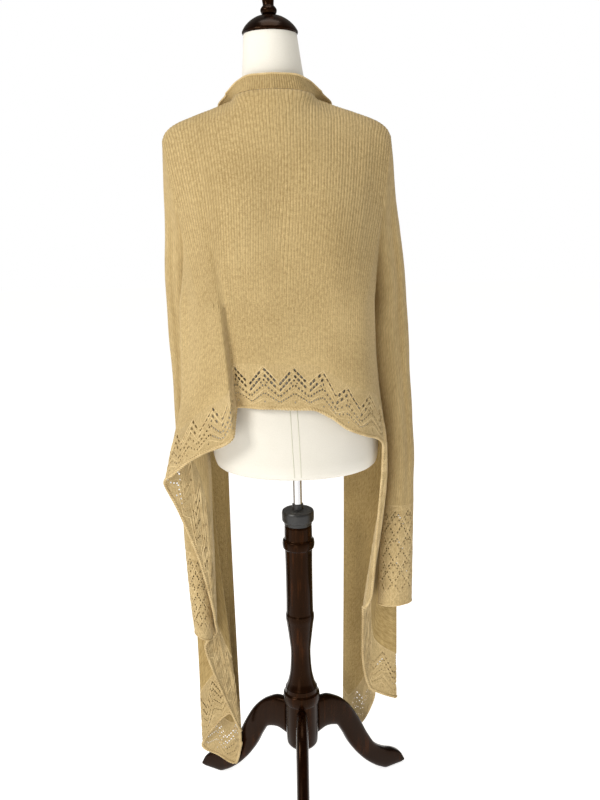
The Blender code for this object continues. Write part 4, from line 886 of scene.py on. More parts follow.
class Panel:
    # half a back, or a front, read by its place from the side seam on and its height

    def __init__(self, table, mirror, back):
        self.table = table
        self.mirror = mirror
        self.side = 1.0 if back else -1.0
        self.armEnd = 0.8 if back else 0.45
        self.neckStart = 1.5 if back else 1.0
        self.last = table[-1][0]
        self.edge = self.column(self.armEnd)

    def column(self, along):
        return columns(self.table, panelNames, along)

    def top(self, along):
        share = np.clip((along - self.armEnd) / (self.neckStart - self.armEnd), 0.0, 1.0)
        row = columns(shoulderRows, ("share", "x", "z"), share)
        found = (row["x"], self.side * seamGap + 0.0 * share, row["z"])
        if self.side > 0:
            past = np.clip((along - self.neckStart) / (2.0 - self.neckStart), 0.0, 1.0)
            neck = columns(neckRows, ("share", "x", "y", "z"), past)
            found = chosen(along > self.neckStart, (neck["x"], neck["y"] + seamGap, neck["z"]), found)
        low = armhole(0.5 * np.maximum(along, 0.0) / self.armEnd, self.side)
        return chosen(along < self.armEnd, low, found)

    def edgeShares(self, fall):
        # where the armhole's edge stands at a height, as shares of the way to the waist
        z = shoulderTip - topSpan * fall
        cosine = np.clip((armMiddle - z) / (shoulderTip - armMiddle), -1.0, 1.0)
        high = armhole(np.arccos(cosine) / math.pi, self.side)
        middle = armhole(0.5, self.side)
        waistX, waistY = self.edge["waistX"], self.edge["waistY"]
        share = (armMiddle - z) / (armMiddle - waistLevel)
        x = np.where(z > armMiddle, high[0], middle[0] + (waistX - middle[0]) * share)
        y = np.where(z > armMiddle, high[1], middle[1] + (waistY - middle[1]) * share)
        startX = armhole(1.0, self.side)[0]
        return (x - startX) / (waistX - startX), y / waistY

    def shaped(self, along, fall):
        exact = self.bent(along, fall)
        if self.side < 0:
            return exact
        soft = np.clip(fall / bendLook["fullFrom"], 0.0, 1.0)
        near = []
        for shift, weight in bendLook["shifts"]:
            place = np.clip(along + shift * soft, self.armEnd, self.last)
            near.append([weight * axis for axis in self.bent(place, fall)])
        mean = [sum(axes) for axes in zip(*near)]
        # the armhole's edge and the centre line stay where they are
        inward = np.clip((along - self.armEnd) / bendLook["nearArm"], 0.0, 1.0)
        outward = np.clip((self.last - along) / bendLook["nearCentre"], 0.0, 1.0)
        return tuple(first + (second - first) * share for first, second, share in
                     zip(exact, mean, (inward * outward, inward, inward)))

    def bent(self, along, fall):
        found = self.column(along)
        topX, topY, topZ = self.top(along)
        edgeIn, edgeOut = self.edgeShares(fall)
        blend = eased(1.0 - (along - self.armEnd) / (self.neckStart - self.armEnd) / edgeReach)
        pastNeck = np.maximum(0.0, along - self.neckStart)
        roundOut = np.sqrt(np.maximum(0.0, 1.0 - (1.0 - fall) ** archPower))
        roundOut = roundOut + (fall - roundOut) * 0.9 * pastNeck
        out = blend * edgeOut + (1.0 - blend) * roundOut
        drift = blend * edgeIn + (1.0 - blend) * fall
        x = topX + (found["waistX"] - topX) * drift
        y = topY + (found["waistY"] - topY) * out
        return x * self.mirror, y, topZ - (topZ - waistLevel) * fall

    def atHeight(self, along, z):
        found = self.column(along)
        heights = np.stack([np.full(z.shape, waistLevel), np.full(z.shape, hipLevel),
                            found["kneeZ"], found["hemZ"]])
        top = self.top(along)
        share = (top[2] - z) / (top[2] - waistLevel)
        spots = []
        for axis, start in zip("XY", top):
            rows = np.stack([found[key + axis] for key in ("waist", "hip", "knee", "hem")])
            above = start + (found["waist" + axis] - start) * share
            spots.append(np.where(z > waistLevel, above, curve(heights, rows, z)))
        gap = self.side * seamGap * np.maximum(0.0, 1.0 - along / 0.1)
        return spots[0] * self.mirror, spots[1] + gap, z

    def point(self, along, level):
        # level is a height up to the waist, then runs up to the shoulder tip's height
        along = np.clip(np.atleast_1d(along), 0.0, self.last)
        level = np.atleast_1d(level) + 0.0 * along
        low = (level <= waistLevel) | ((along < self.armEnd - 0.001) & (level <= armMiddle))
        fall = np.clip((shoulderTip - level) / topSpan, 0.0, 1.0)
        above = self.shaped(np.maximum(along, self.armEnd), fall)
        return placeAll(*chosen(low, self.atHeight(along, level), above))

    def hem(self, along):
        return self.column(along)["hemZ"]

    def laceTop(self, along):
        found = self.column(along)
        return found["hemZ"] + found["lace"]


class Back:
    # the two halves, read from -2 at the right side seam to 2 at the left one

    def __init__(self, left, right):
        self.left = left
        self.right = right

    def both(self, what, along, *rest):
        along = np.atleast_1d(along)
        left = getattr(self.left, what)(2.0 - along, *rest)
        right = getattr(self.right, what)(2.0 + along, *rest)
        onLeft = along >= 0.0
        return np.where(onLeft[:, None] if left.ndim > 1 else onLeft, left, right)

    def point(self, along, level):
        return self.both("point", along, level)

    def hem(self, along):
        return self.both("hem", along)

    def laceTop(self, along):
        return self.both("laceTop", along)


class Layout:
    # a cloth laid flat: metres across at one level, or along the hem

    def __init__(self, cloth, first, last, levelAt):
        self.places = np.linspace(first, last, 801)
        self.reach = reachOf(cloth.point(self.places, levelAt(self.places)))
        self.width = float(self.reach[-1])

    def flat(self, along):
        return np.interp(along, self.places, self.reach)

    def along(self, flat):
        # carried on a little past both ends, so that a slope can be read there
        slope = (self.places[-1] - self.places[0]) / self.width
        inside = np.interp(flat, self.reach, self.places)
        return inside + (np.minimum(flat, 0.0) + np.maximum(flat - self.width, 0.0)) * slope

    def evenly(self, pitch, least):
        return self.along(np.linspace(0, self.width, max(least, int(self.width / pitch))))


class Sleeve:

    def __init__(self, table, mirror):
        self.table = table
        self.mirror = mirror
        self.last = table[-1][0]

    def point(self, turn, ring):
        # turn runs 0 at the inner line, 1 at the outer line by the back, 2 back again
        turn = np.atleast_1d(turn)
        ring = np.atleast_1d(ring) + 0.0 * turn
        row = columns(self.table, sleeveNames, ring)
        share = 0.5 - 0.5 * np.cos(math.pi * turn)
        x = row["innerX"] + (row["outerX"] - row["innerX"]) * share
        z = row["innerZ"] + (row["outerZ"] - row["innerZ"]) * share
        near = np.exp(-((turn % 2.0 - creaseTurn) / creaseWidth) ** 2)
        fade = np.clip((ring - 1.0) / 2.0, 0.0, 1.0) * np.clip((9.6 - ring) / 2.0, 0.25, 1.0)
        y = row["depth"] * np.sin(math.pi * turn) * (1.0 - creaseDepth[self.mirror] * near * fade)
        past = np.where(ring > self.last, ring - self.last, np.minimum(ring, 0.0))
        return placeAll(x * self.mirror, y, z - past * 0.1)

    def girth(self, ring):
        return float(reachOf(self.point(np.linspace(0, 2, 200), ring))[-1])


# the cloth's plain pieces

plain = {
    "perWale": 4,           # columns of points in one ridge
    "rowStep": 0.012,
    "lowRowsTo": 0.60,      # the height down to which the row step is counted
    "highRows": 1.6,        # rows are closer by this much above the armhole's middle
    "ridge": 0.00085,       # height of the ridges
    "breaks": (0.80, 0.35), # a ridge's usual height and how much it changes
    "breakLength": 0.022,
    "crumple": 0.0011,      # height of the soft wrinkles
    "crumpleSize": 0.055,
    "calmLace": 0.03,       # how far from each edge the relief comes back
    "calmSide": 0.02,
    "calmTop": 0.05,
    "spread": (1.06, 1.34), # the ribs spread over the shoulders between these heights
}
# its last value sets how strongly the painted groove shade shows on the sleeves
sleeveLook = {"rings": 84, "ridge": 0.6, "crumple": 1.4, "crumpleSize": 0.045, "grooveShadeStrength": 0.45}


def wales(across, down, strength, seed):
    # ridges of the knit, broken here and there and fading where strength does
    wave = 0.5 + 0.5 * np.cos(2 * math.pi * across / waleWidth)
    number = np.round(across / waleWidth)
    spots = np.stack([number * 0.731, down / plain["breakLength"], 0.0 * down], axis=-1)
    usual, change = plain["breaks"]
    broken = usual + change * cloudAt(spots, 1.0, seed)
    return strength * wave * np.clip(broken, 0.15, 1.2)


def gridFaces(rows, size, first=0):
    here = np.arange(first, first + rows * size).reshape(rows, size)
    quads = np.stack([here[:-1, :-1], here[:-1, 1:], here[1:, 1:], here[1:, :-1]], axis=-1)
    return quads.reshape(-1, 4).tolist()


def panelLevels(bottom, join, side):
    # rows of levels from the lace to the armhole, or on to the shoulder
    lowRows = int((armMiddle - plain["lowRowsTo"]) / plain["rowStep"])
    rows = [bottom + (join - bottom) * step / lowRows for step in range(lowRows + 1)]
    if not side:
        highRows = int((shoulderTip - armMiddle) / plain["rowStep"] * plain["highRows"])
        share = np.arange(1, highRows + 1) / highRows
        rows += [join + (shoulderTip - join) * (1.0 - (1.0 - step) ** 1.5) for step in share]
    return np.stack(rows)


def addPanel(name, cloth, layout, armEnds, fadeAt, least, paint, seed):
    # armEnds holds the places where the armhole's side columns end; the ribs and the painted shade
    # in their grooves fade from one height of fadeAt to the other, to the least share
    first, last = layout.places[0], layout.places[-1]
    cuts = [first, *sorted(armEnds), last]
    points, faces, flats, downs, grooveShadeStrength = [], [], [], [], []
    for start, end in zip(cuts, cuts[1:]):
        aStart, aEnd = layout.flat(start), layout.flat(end)
        count = max(2, int(round((aEnd - aStart) / waleWidth * plain["perWale"])) + 1)
        a = np.linspace(aStart, aEnd, count)
        along = layout.along(a)
        side = start == first or (end == last and len(armEnds) > 1)
        join = np.full(count, armMiddle)
        if side:
            closest = np.abs(along - (first if start == first else last))
            join = armhole(0.5 * np.clip(closest / abs(end - start), 0.0, 1.0), 1.0)[2]
        bottom = cloth.laceTop(along)
        level = panelLevels(bottom, join, side)
        rows = len(level)
        across = np.tile(a, rows)
        places = np.tile(along, rows)
        if not side:
            # the ribs are evenly spaced below the waist and again across the shoulders
            shoulder = Layout(cloth, start, end, lambda spot: np.full(spot.shape, shoulderTip - 0.03))
            alongTop = shoulder.along(np.linspace(0.0, shoulder.width, count))
            upper = eased((level - plain["spread"][0]) / (plain["spread"][1] - plain["spread"][0]))
            places = (along * (1.0 - upper) + alongTop * upper).ravel()
        low = np.clip((level - bottom) / plain["calmLace"], 0.0, 1.0).ravel()
        level = level.ravel()
        spots = cloth.point(places, level)
        normal = normalsOf(cloth.point, places, level, 0.008, 0.002)
        normal *= np.sign((normal * (spots - [axisX, axisY, 0.0]))[:, :2].sum())
        down = reachOf(spots.reshape(rows, count, 3)).ravel()
        share = np.clip((spots[:, 2] - fadeAt[1]) / (fadeAt[0] - fadeAt[1]), least, 1.0)
        share *= 0.3 + 0.7 * low
        edge = np.minimum(across, layout.width - across)
        calm = low * np.clip(edge / plain["calmSide"], 0.0, 1.0)
        calm *= np.clip((shoulderTip - level) / plain["calmTop"], 0.0, 1.0)
        cloud = cloudAt(spots * [1.0, 1.0, 0.45], plain["crumpleSize"], seed + 3.0)
        relief = wales(across, down, plain["ridge"] * share, seed) + plain["crumple"] * calm * cloud
        faces += gridFaces(rows, count, len(points))
        points += (spots + normal * relief[:, None]).tolist()
        flats += across.tolist()
        downs += down.tolist()
        grooveShadeStrength += share.tolist()
    uv = np.stack([flats, downs], axis=-1)
    return thicken(addMesh(name, points, faces, paint, uv, grooveShadeStrength, weld=True))


def addSleeve(name, sleeve, node, seed):
    girth = sleeve.girth(6.0)
    count = int(round(girth / waleWidth)) * plain["perWale"] + 1
    rings = np.linspace(0.0, cuffFrom, sleeveLook["rings"])
    turns = np.tile(np.linspace(0, 2, count), len(rings))
    ringAll = np.repeat(rings, count)
    spots = sleeve.point(turns, ringAll)
    normal = normalsOf(sleeve.point, turns, ringAll, 0.01, 0.02)
    middle = sleeve.point(np.array([0.5, 1.5]), np.array([5.0, 5.0])).mean(axis=0)
    normal *= np.sign((normal * (spots - middle))[:, 1].sum())
    down = reachOf(spots.reshape(len(rings), count, 3)).ravel()
    across = turns / 2 * girth
    calm = np.clip(ringAll / 0.6, 0.0, 1.0)
    angle = math.pi * turns
    unrolled = np.stack([np.sin(angle) * 0.06, np.cos(angle) * 0.06, down * 0.55], axis=-1)
    cloud = cloudAt(unrolled, sleeveLook["crumpleSize"], seed + 5.0)
    relief = wales(across, down, plain["ridge"] * sleeveLook["ridge"], seed)
    relief += plain["crumple"] * sleeveLook["crumple"] * calm * cloud
    spots = spots + normal * relief[:, None]
    uv = np.stack([across, down], axis=-1)
    piece = addMesh(name, spots, gridFaces(len(rings), count), paints["camelKnit"], uv,
                    np.full(len(spots), sleeveLook["grooveShadeStrength"]), weld=True)
    return settle(thicken(piece), "camel_knit", node)


# the cloth's lace

laceLook = {
    "corners": 8,           # of an eyelet
    "edge": 0.0016,         # least distance from an eyelet to the band's edges
    "room": 0.86,           # least distance between two eyelets, as a share of their half heights
    "rim": 1.16,            # the rim's size against the eyelet
    "rimYarn": 0.24,        # thickness against the eyelet's size
    "rimHeight": 0.0028,
    # the next value sets how strongly the painted groove shade shows on the lace
    "grooveShadeStrength": 0.3,
    "rows": 18,             # rows of points in a hem's band
    "step": 0.0042,
    "cuffStep": 0.0044,
    "cuffRepeats": 7,
}
# radius and pitch of the curled edges, then the radius of the ridge above and of the raised cords
hemYarns = {"roll": (0.0028, 0.0056), "ridge": 0.0016, "cords": 0.0015}
cuffYarns = {"roll": (0.0019, 0.0038), "ridge": 0.0013, "cords": 0.0014}


def rounded(value, power=0.8):
    return np.sign(value) * np.abs(value) ** power


def eyeletRings(surface, a, b, wide, tall, tilt):
    # an eyelet's corners in the flat layout, so that it keeps its size on the cloth
    step = 0.001
    across = (surface(a + step, b) - surface(a - step, b)) / (2 * step)
    up = (surface(a, b + step) - surface(a, b - step)) / (2 * step)
    length = np.linalg.norm(across, axis=-1)
    shear = (up * across).sum(-1) / length
    side = up - across * (shear / length)[:, None]
    height = np.linalg.norm(side, axis=-1)
    corners = laceLook["corners"]
    angle = np.linspace(0, 2 * math.pi, corners, endpoint=False) + math.pi / corners
    x = wide[:, None] * rounded(np.cos(angle))
    y = tall[:, None] * rounded(np.sin(angle))
    cosine, sine = np.cos(tilt)[:, None], np.sin(tilt)[:, None]
    rise = (x * sine + y * cosine) / height[:, None]
    reach = (x * cosine - y * sine - rise * shear[:, None]) / length[:, None]
    return np.stack([a[:, None] + reach, b[:, None] + rise], axis=-1)


def keptEyelets(surface, rings, bandAt, grid, a, b, tall):
    # those that lie inside the band and clear of the eyelets before them
    clear = laceLook["edge"]
    across, upward = rings[..., 0], rings[..., 1]
    low, high = (edge.reshape(across.shape) for edge in bandAt(across.ravel()))
    slopes = clear * grid["slope"](a)[:, None]
    inside = ((upward > low + slopes) & (upward < high - slopes)).all(axis=1)
    inside &= (across.min(axis=1) > clear) & (across.max(axis=1) < grid["right"] - clear)
    spots = surface(a, b)
    kept = []
    for index in np.flatnonzero(inside):
        near = np.linalg.norm(spots[kept] - spots[index], axis=-1)
        if (near > (tall[kept] + tall[index]) * laceLook["room"] + 0.0006).all():
            kept.append(int(index))
    return kept


def cutLace(name, surface, border, bandAt, grid, eyelets, flatUv, weld=False):
    # border is the closed outline; bandAt gives the lower and upper edge at a place across
    a, b, wide, tall, tilt = (np.array(column) for column in zip(*eyelets))
    rings = eyeletRings(surface, a, b, wide, tall, tilt)
    kept = keptEyelets(surface, rings, bandAt, grid, a, b, tall)
    a, b, wide, tall, tilt, rings = (column[kept] for column in (a, b, wide, tall, tilt, rings))
    centre = np.stack([a, b], axis=-1)
    reach = np.abs(rings - centre[:, None]).max(axis=1)
    inner = grid["points"]
    far = np.ones(len(inner), dtype=bool)
    for spot, size in zip(centre, reach * 1.25 + 0.0008):
        far &= (np.abs(inner - spot) > size).any(axis=1)
    flat = [*border, *inner[far]]
    loops = [list(range(len(border)))]
    for ring in rings:
        loops.append(list(range(len(flat), len(flat) + len(ring))))
        flat += list(ring)
    found = delaunay_2d_cdt([Vector(spot) for spot in flat], [], loops, 1, 1e-7)
    cells = [tuple(cell) for cell, owners in zip(found[2], found[5]) if list(owners) == [0]]
    flatSpots = np.array([(spot.x, spot.y) for spot in found[0]])
    points = surface(flatSpots[:, 0], flatSpots[:, 1])
    grooveShadeStrength = np.full(len(points), laceLook["grooveShadeStrength"])
    piece = addMesh(name, points, cells, paints["camelLace"], flatUv(flatSpots), grooveShadeStrength, weld)
    body = bmesh.new()
    body.from_mesh(piece.data)
    loose = [spot for spot in body.verts if not spot.link_faces]
    bmesh.ops.delete(body, geom=loose, context="VERTS")
    body.to_mesh(piece.data)
    body.free()
    piece.data.shade_smooth()
    thicken(piece)
    # a yarn round each eyelet
    right = surface(a + 0.001, b) - surface(a - 0.001, b)
    turns = turnsFrom(right, normalsOf(surface, a, b, 0.001, 0.001), tilt)
    sizes = np.stack([wide * laceLook["rim"], tall * laceLook["rim"],
                      np.full(len(kept), laceLook["rimHeight"])], axis=-1)
    rims = stamps(name + "Rims", "ring", surface(a, b), turns, sizes, laceLook["rimYarn"],
                  paints["camelLaceYarn"])
    print(name, "eyelets", len(kept))
    return piece, rims


zigzags = (
    # top and foot of the zigzag as shares of the band's height, eyelets to an arm, half width,
    # half height, tilt in degrees
    (0.905, 0.530, 5, 0.0025, 0.0040, 30.0),
    (0.765, 0.390, 5, 0.0024, 0.0038, 30.0),
    (0.545, 0.265, 5, 0.0017, 0.0026, 18.0),
    (0.350, 0.140, 6, 0.0015, 0.0021, 12.0),
)
leaves = (
    # eyelets of the fan under each apex: across a repeat, up the band, half width, half height, tilt
    (0.00, 0.650, 0.0017, 0.0034, 0.0),
    (0.10, 0.585, 0.0015, 0.0028, -22.0),
    (-0.10, 0.585, 0.0015, 0.0028, 22.0),
    (0.50, 0.300, 0.0016, 0.0030, 0.0),
    (0.00, 0.150, 0.0013, 0.0022, 0.0),
)
cords = ((0.960, 0.590), (0.843, 0.470), (0.700, 0.340), (0.430, 0.180), (0.240, 0.075))
cuffZigzags = (
    (0.935, 0.825, 4, 0.0014, 0.0022, 24.0),
    (0.895, 0.785, 3, 0.0013, 0.0019, 24.0),
    (0.685, 0.795, 4, 0.0014, 0.0022, -24.0),
    (0.705, 0.595, 4, 0.0014, 0.0022, 24.0),
    (0.665, 0.555, 3, 0.0013, 0.0019, 24.0),
    (0.455, 0.565, 4, 0.0014, 0.0022, -24.0),
    (0.475, 0.365, 4, 0.0014, 0.0022, 24.0),
    (0.435, 0.325, 3, 0.0013, 0.0019, 24.0),
    (0.225, 0.335, 4, 0.0014, 0.0022, -24.0),
    (0.245, 0.135, 4, 0.0014, 0.0022, 24.0),
)
cuffLeaves = ((0.0, 0.800, 0.0014, 0.0022, 0.0), (0.0, 0.340, 0.0014, 0.0022, 0.0))
cuffCords = ((0.965, 0.855), (0.745, 0.855), (0.735, 0.625), (0.515, 0.625),
             (0.505, 0.395), (0.285, 0.395), (0.275, 0.165), (0.055, 0.165))


def lacePattern(apexes, repeats, lines, fans):
    # (repeats across, share up, half width, half height, tilt) for a whole band
    found = []
    for apex in apexes:
        for top, foot, count, wide, tall, degrees in lines:
            for step in range(count):
                share = (step + 0.5) / count
                up = top + (foot - top) * share
                for side in (-1.0, 1.0):
                    tilt = side * math.radians(degrees)
                    found.append((apex + side * 0.5 * share, up, wide, tall, tilt))
        for shift, up, wide, tall, degrees in fans:
            found.append((apex + shift, up, wide, tall, math.radians(degrees)))
    return [eyelet for eyelet in found if 0.0 < eyelet[0] < repeats]


def cordPaths(repeats, lines, spotAt):
    # raised stitches that follow the zigzags, one path to an arm
    paths = []
    share = np.linspace(0.0, 1.0, 9)
    for number in range(repeats + 1):
        for top, foot in lines:
            for side in (-1.0, 1.0):
                across = number + side * 0.5 * share
                up = top + (foot - top) * share
                inside = (across >= 0.02) & (across <= repeats - 0.02)
                if inside.sum() > 2:
                    paths.append(spotAt(across[inside] / repeats, up[inside]))
    return paths


def addHemLace(name, cloth, layout, ridged, size):
    first, last = layout.places[0], layout.places[-1]
    step, rows = laceLook["step"], laceLook["rows"]
    yarn = paints["camelLaceYarn"]

    def heightAt(along, share):
        low, high = cloth.hem(along), cloth.laceTop(along)
        return low + (high - low) * share

    def surface(a, b):
        return cloth.point(layout.along(a), b)

    def bandAt(a):
        along = np.clip(layout.along(a), first, last)
        return cloth.hem(along), cloth.laceTop(along)

    def slope(a):
        along = np.clip(layout.along(a), first, last)
        rise = np.abs(cloth.hem(along + 0.004) - cloth.hem(along - 0.004))
        run = np.abs(layout.flat(np.clip(along + 0.004, first, last))
                     - layout.flat(np.clip(along - 0.004, first, last)))
        return np.clip(np.hypot(rise, run) / np.maximum(run, 1e-6), 1.0, 9.0)

    def flatUv(spots):
        low, high = bandAt(spots[:, 0])
        across = hemLine.flat(layout.along(spots[:, 0]))
        return np.stack([across, (high - spots[:, 1]) / np.maximum(high - low, 1e-6) * 0.09], axis=-1)

    def spotAt(across, up):
        along = middleLine.along(across * middleLine.width)
        return cloth.point(along, heightAt(along, up))

    hemLine = Layout(cloth, first, last, cloth.hem)
    middleLine = Layout(cloth, first, last,
                        lambda along: 0.5 * (cloth.hem(along) + cloth.laceTop(along)))
    repeats = max(1, round(middleLine.width / repeat))
    eyelets = []
    for across, up, wide, tall, tilt in lacePattern(range(repeats + 1), repeats, zigzags, leaves):
        along = middleLine.along(across / repeats * middleLine.width)
        spot = (float(layout.flat(along)), float(heightAt(along, up)[0]))
        eyelets.append((*spot, wide * size, tall * size, tilt))
    hemFlat = layout.flat(hemLine.evenly(step, 8))
    across = np.unique(np.round(np.concatenate([hemFlat, np.arange(0, layout.width, step)]), 6))
    across = across[np.concatenate([[True], np.diff(across) > 0.0004])]
    across[0], across[-1] = 0.0, layout.width
    low, high = bandAt(across)
    border = [*zip(across, low)]
    border += [(across[-1], low[-1] + (high[-1] - low[-1]) * row / rows) for row in range(1, rows)]
    border += [*zip(across[::-1], high[::-1])]
    border += [(across[0], high[0] + (low[0] - high[0]) * row / rows) for row in range(1, rows)]
    inner = [(a, bottom + (top - bottom) * row / rows) for a, bottom, top in
             zip(across[1:-1], low[1:-1], high[1:-1]) for row in range(1, rows)]
    grid = {"points": np.array(inner), "right": layout.width, "slope": slope}
    piece, rims = cutLace(name, surface, border, bandAt, grid, eyelets, flatUv)

    hemAlong = hemLine.evenly(0.003, 12)
    outward = normalsOf(cloth.point, hemAlong, cloth.hem(hemAlong) + 0.002, 0.002, 0.001)
    hemPath = cloth.point(hemAlong, cloth.hem(hemAlong))
    roll = rope(name + "Roll", hemPath, outward, *hemYarns["roll"], yarn)
    raised = tubes(name + "Cords", cordPaths(repeats, cords, spotAt), hemYarns["cords"], yarn, 5)
    extras = [rims, roll, raised]
    if ridged:
        topAlong = Layout(cloth, first, last, cloth.laceTop).evenly(0.004, 12)
        extras.append(tubes(name + "Ridge", [cloth.point(topAlong, cloth.laceTop(topAlong))],
                            hemYarns["ridge"], yarn))
    for part in extras:
        settle(part, "camel_lace")
    return piece, extras, hemLine.width


def addCuff(name, sleeve, nodes):
    rings = sleeve.last - cuffFrom
    girth = sleeve.girth(10.0)
    length = float(np.linalg.norm(sleeve.point(0.5, cuffFrom) - sleeve.point(0.5, sleeve.last)))
    repeats, step = laceLook["cuffRepeats"], laceLook["cuffStep"]
    yarn = paints["camelLaceYarn"]

    def surface(a, b):
        return sleeve.point(2.0 * a / girth, sleeve.last - rings * b / length)

    def bandAt(a):
        return np.zeros(a.shape), np.full(a.shape, length)

    def flatUv(spots):
        return np.stack([spots[:, 0], length - spots[:, 1]], axis=-1)

    def spotAt(across, up):
        return surface((across + 0.5 / repeats) * girth, up * length)

    pattern = lacePattern(np.arange(repeats) + 0.5, repeats, cuffZigzags, cuffLeaves)
    eyelets = [(across * girth / repeats, up * length, *shape) for across, up, *shape in pattern]
    across = np.linspace(0, girth, int(girth / step) + 1)
    up = np.linspace(0, length, int(length / step) + 1)
    border = [(a, 0.0) for a in across] + [(girth, b) for b in up[1:-1]]
    border += [(a, length) for a in across[::-1]] + [(0.0, b) for b in up[1:-1][::-1]]
    inner = np.array([(a, b) for a in across[1:-1] for b in up[1:-1]])
    grid = {"points": inner, "right": girth, "slope": np.ones_like}
    piece, rims = cutLace(name, surface, border, bandAt, grid, eyelets, flatUv, weld=True)

    turn = np.linspace(0, 2, 90)
    outward = normalsOf(sleeve.point, turn, np.full(90, sleeve.last - 0.2), 0.01, 0.02)
    roll = rope(name + "Roll", sleeve.point(turn, sleeve.last), outward, *cuffYarns["roll"], yarn)
    ridge = tubes(name + "Ridge", [sleeve.point(turn, cuffFrom)], cuffYarns["ridge"], yarn)
    raised = tubes(name + "Cords", cordPaths(repeats, cuffCords, spotAt), cuffYarns["cords"], yarn, 5)
    settle(piece, "camel_lace", *nodes)
    for part in (rims, roll, ridge, raised):
        settle(part, "camel_lace")


# the neck band

bandLook = {
    "rows": 9,
    "ridge": 0.0011,        # height of its ribs
    "seam": (0.0009, 0.0040),       # radius and pitch of the yarn along the root and the free edge
    "edge": (0.0018, 0.0040),
}


def collarAt(fronts, along, out):
    along = np.atleast_1d(along)
    out = np.atleast_1d(out) + 0.0 * along
    found = np.zeros((len(along), 3))
    for front in fronts:
        mine = (along >= 0.0) if front.mirror > 0 else (along < 0.0)
        place, reach = np.abs(along[mine]), out[mine]
        if not len(place):
            continue
        row = columns(collarBack, collarNames, place)
        x, y, z = (row["root" + axis] + (row["edge" + axis] - row["root" + axis]) * reach
                   for axis in "XYZ")
        down = columns(collarFront, ("place", "fall", "spread", "lift"), place)
        edge = np.full(place.shape, front.neckStart)
        hereX, hereY, hereZ = front.shaped(edge, down["fall"])
        _, belowY, belowZ = front.shaped(edge, down["fall"] + 0.002)
        size = np.hypot(belowY - hereY, belowZ - hereZ)
        offY, offZ = (belowZ - hereZ) / size, -(belowY - hereY) / size
        lift = clothThick + seamGap + down["lift"] * reach
        spread = down["spread"] * front.mirror * reach
        turnedOver = (hereX + spread, hereY + offY * lift, hereZ + offZ * lift)
        atBack = place <= collarBack[-1][0]
        found[mine] = placeAll(*chosen(atBack, (x * front.mirror, y, z), turnedOver))
    return found


def addNeckBand(fronts):
    last = collarFront[-1][0]

    def surface(along, out):
        return collarAt(fronts, along, out)

    guide = np.linspace(-last, last, 1201)
    reach = reachOf(surface(guide, 0.5))
    length = float(reach[-1])
    count = int(length / waleWidth * 4) + 1
    across = np.linspace(0, length, count)
    outs = np.linspace(0.0, 1.0, bandLook["rows"])
    places = np.tile(np.interp(across, reach, guide), len(outs))
    across = np.tile(across, len(outs))
    outAll = np.repeat(outs, count)
    spots = surface(places, outAll)
    normal = normalsOf(surface, places, outAll, 0.01, 0.01)
    normal *= np.sign((normal * (spots - [axisX, axisY, 0.0]))[:, :2].sum())
    ridge = bandLook["ridge"] * (0.5 + 0.5 * np.cos(2 * math.pi * across / waleWidth))
    wide = float(np.linalg.norm(surface(0.0, 1.0) - surface(0.0, 0.0)))
    spots = spots + normal * ridge[:, None]
    uv = np.stack([across, outAll * wide], axis=-1)
    piece = addMesh("neckBand", spots, gridFaces(len(outs), count), paints["camelKnit"], uv,
                    np.ones(len(spots)))
    settle(thicken(piece), "camel_knit", "neck_band")
    outward = normalsOf(surface, guide, np.full(guide.shape, 0.5), 0.01, 0.02)
    seamPath, edgePath = surface(guide, 0.02)[4:-4], surface(guide, 1.0)[4:-4]
    seamRow = rope("neckSeam", seamPath, outward, *bandLook["seam"], paints["camelYarn"])
    bindOff = rope("neckEdge", edgePath, outward, *bandLook["edge"], paints["camelLaceYarn"])
    for part in (seamRow, bindOff):
        settle(part, "camel_knit")


# building

garment = {
    "layoutLevel": 1.0,             # height at which the cloths' flat widths are taken
    "backFade": ((1.25, 1.0), 0.50),        # heights between which the ribs and painted groove shade fade, least share
    "frontFade": ((1.30, 1.1), 0.22),
    "backFlat": (0.10, 0.62),       # what the back's flat width adds to its layout, and its length
    "frontFlat": (0.14, 1.15),
    "sleeveFlat": (0.24, 0.82),
    "backLace": (0.11, 0.95),       # flat height of the lace, then the size of its eyelets
    "frontLace": (0.13, 0.60),
    "seam": (0.0012, 0.0045),       # radius and pitch of a seam's yarn
}


def areaOf(piece):
    mesh = piece.data
    areas = np.empty(len(mesh.polygons))
    mesh.polygons.foreach_get("area", areas)
    return float(areas.sum() / 2)


def hang(piece, slot, nodes, flat, extras):
    settle(piece, slot, *nodes)
    area = min(areaOf(piece), flat[0] * flat[1])
    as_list(extras)
    print(piece.name, "flat", [round(size, 3) for size in flat], "area", round(areaOf(piece), 4))


def seamOf(name, path, outward):
    return settle(rope(name, path, outward, *garment["seam"], paints["camelYarn"]), "camel_knit")


def atTheHip(along):
    return np.full(along.shape, garment["layoutLevel"])


def addBack():
    back = Back(Panel(backLeft, 1.0, True), Panel(backRight, -1.0, True))
    layout = Layout(back, -2.0, 2.0, atTheHip)
    panel = addPanel("backPanel", back, layout, (-1.2, 1.2), *garment["backFade"],
                     paints["camelKnit"], 1.0)
    lace, extras, hem = addHemLace("backLace", back, layout, False, garment["backLace"][1])
    wider, tall = garment["backFlat"]
    hang(panel, "camel_knit", ["back_panel"], (layout.width + wider, tall), [])
    hang(lace, "camel_lace", ["back_lace"], (hem, garment["backLace"][0]), extras)
    print("back made")


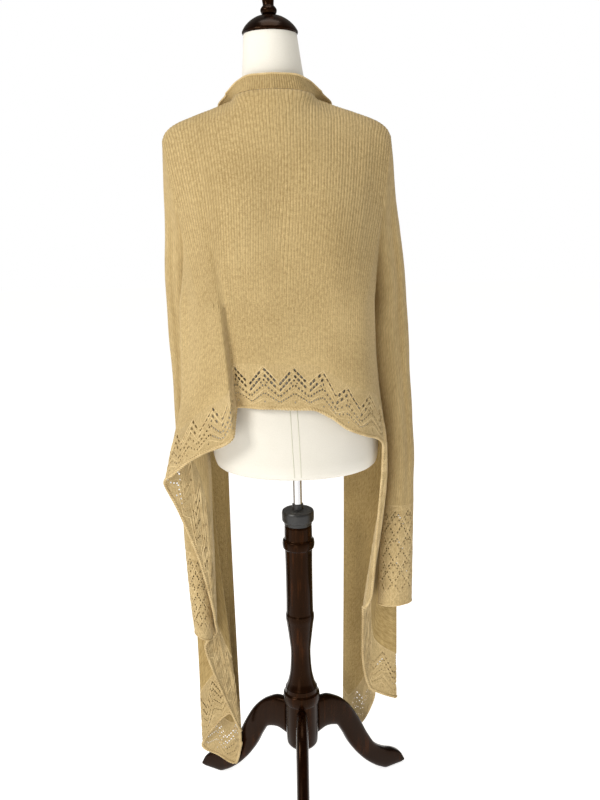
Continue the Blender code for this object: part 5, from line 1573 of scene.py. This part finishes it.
def addFront(name, node, table, mirror):
    front = Panel(table, mirror, False)
    layout = Layout(front, 0.0, 1.0, atTheHip)
    # the fronts take the darker knit paint, which is painted shade for their inner faces
    panel = addPanel("front" + name, front, layout, (front.armEnd,), *garment["frontFade"],
                     paints["camelKnitInside"], 7.0 + mirror)
    lace, extras, hem = addHemLace("frontLace" + name, front, layout, True, garment["frontLace"][1])
    heights = np.linspace(shoulderTip - 0.002, float(front.laceTop(bandFrom)[0]), 160)
    bandPath = front.point(np.full(160, bandFrom), heights)
    pickUp = seamOf("frontBandSeam" + name, bandPath, (0.0, -1.0, 0.0))
    wider, tall = garment["frontFlat"]
    hang(panel, "camel_knit", ["front_" + node, "front_band_" + node], (layout.width + wider, tall),
         [pickUp])
    hang(lace, "camel_lace", ["front_lace_" + node], (hem, garment["frontLace"][0]), extras)
    print("front made")
    return front


def addArm(name, node, table, mirror):
    sleeve = Sleeve(sleeveTop + table, mirror)
    piece = addSleeve("sleeve" + name, sleeve, "sleeve_" + node, 11.0 + mirror)
    path = sleeve.point(np.linspace(0, 2, 160), 0.03)
    seam = seamOf("armholeSeam" + name, path, (mirror, 0.0, 0.0))
    areaOf(piece)
    addCuff("cuff" + name, sleeve, ["cuff_back_" + node, "cuff_front_" + node])
    print("sleeve made")


knits = {
    # deep and lit colour of the cloth
    "camelKnit": ((0.370, 0.258, 0.108), (0.640, 0.482, 0.240)),
    "camelLace": ((0.390, 0.274, 0.118), (0.680, 0.520, 0.270)),
    # a darker, more saturated copy of the knit for the fronts: painted shade on their inner faces
    "camelKnitInside": ((0.318, 0.214, 0.078), (0.560, 0.408, 0.180)),
}
paints = {name: plainPaint(name) for name in looks}
paints.update({name: knitPaint(name, *tones) for name, tones in knits.items()})
trees = {"tube": tubeTree(), "bead": stampTree("bead"), "ring": stampTree("ring")}
addCamera()
addLights()
addRoom()
addFloor()
print("studio made")
addForm()
addStand()
print("form and stand made")
addBack()
fronts = [addFront("Left", "left", frontLeft, 1.0), addFront("Right", "right", frontRight, -1.0)]
addArm("Left", "left", sleeveLeft, 1.0)
addArm("Right", "right", sleeveRight, -1.0)
addNeckBand(fronts)
print("neck band made")
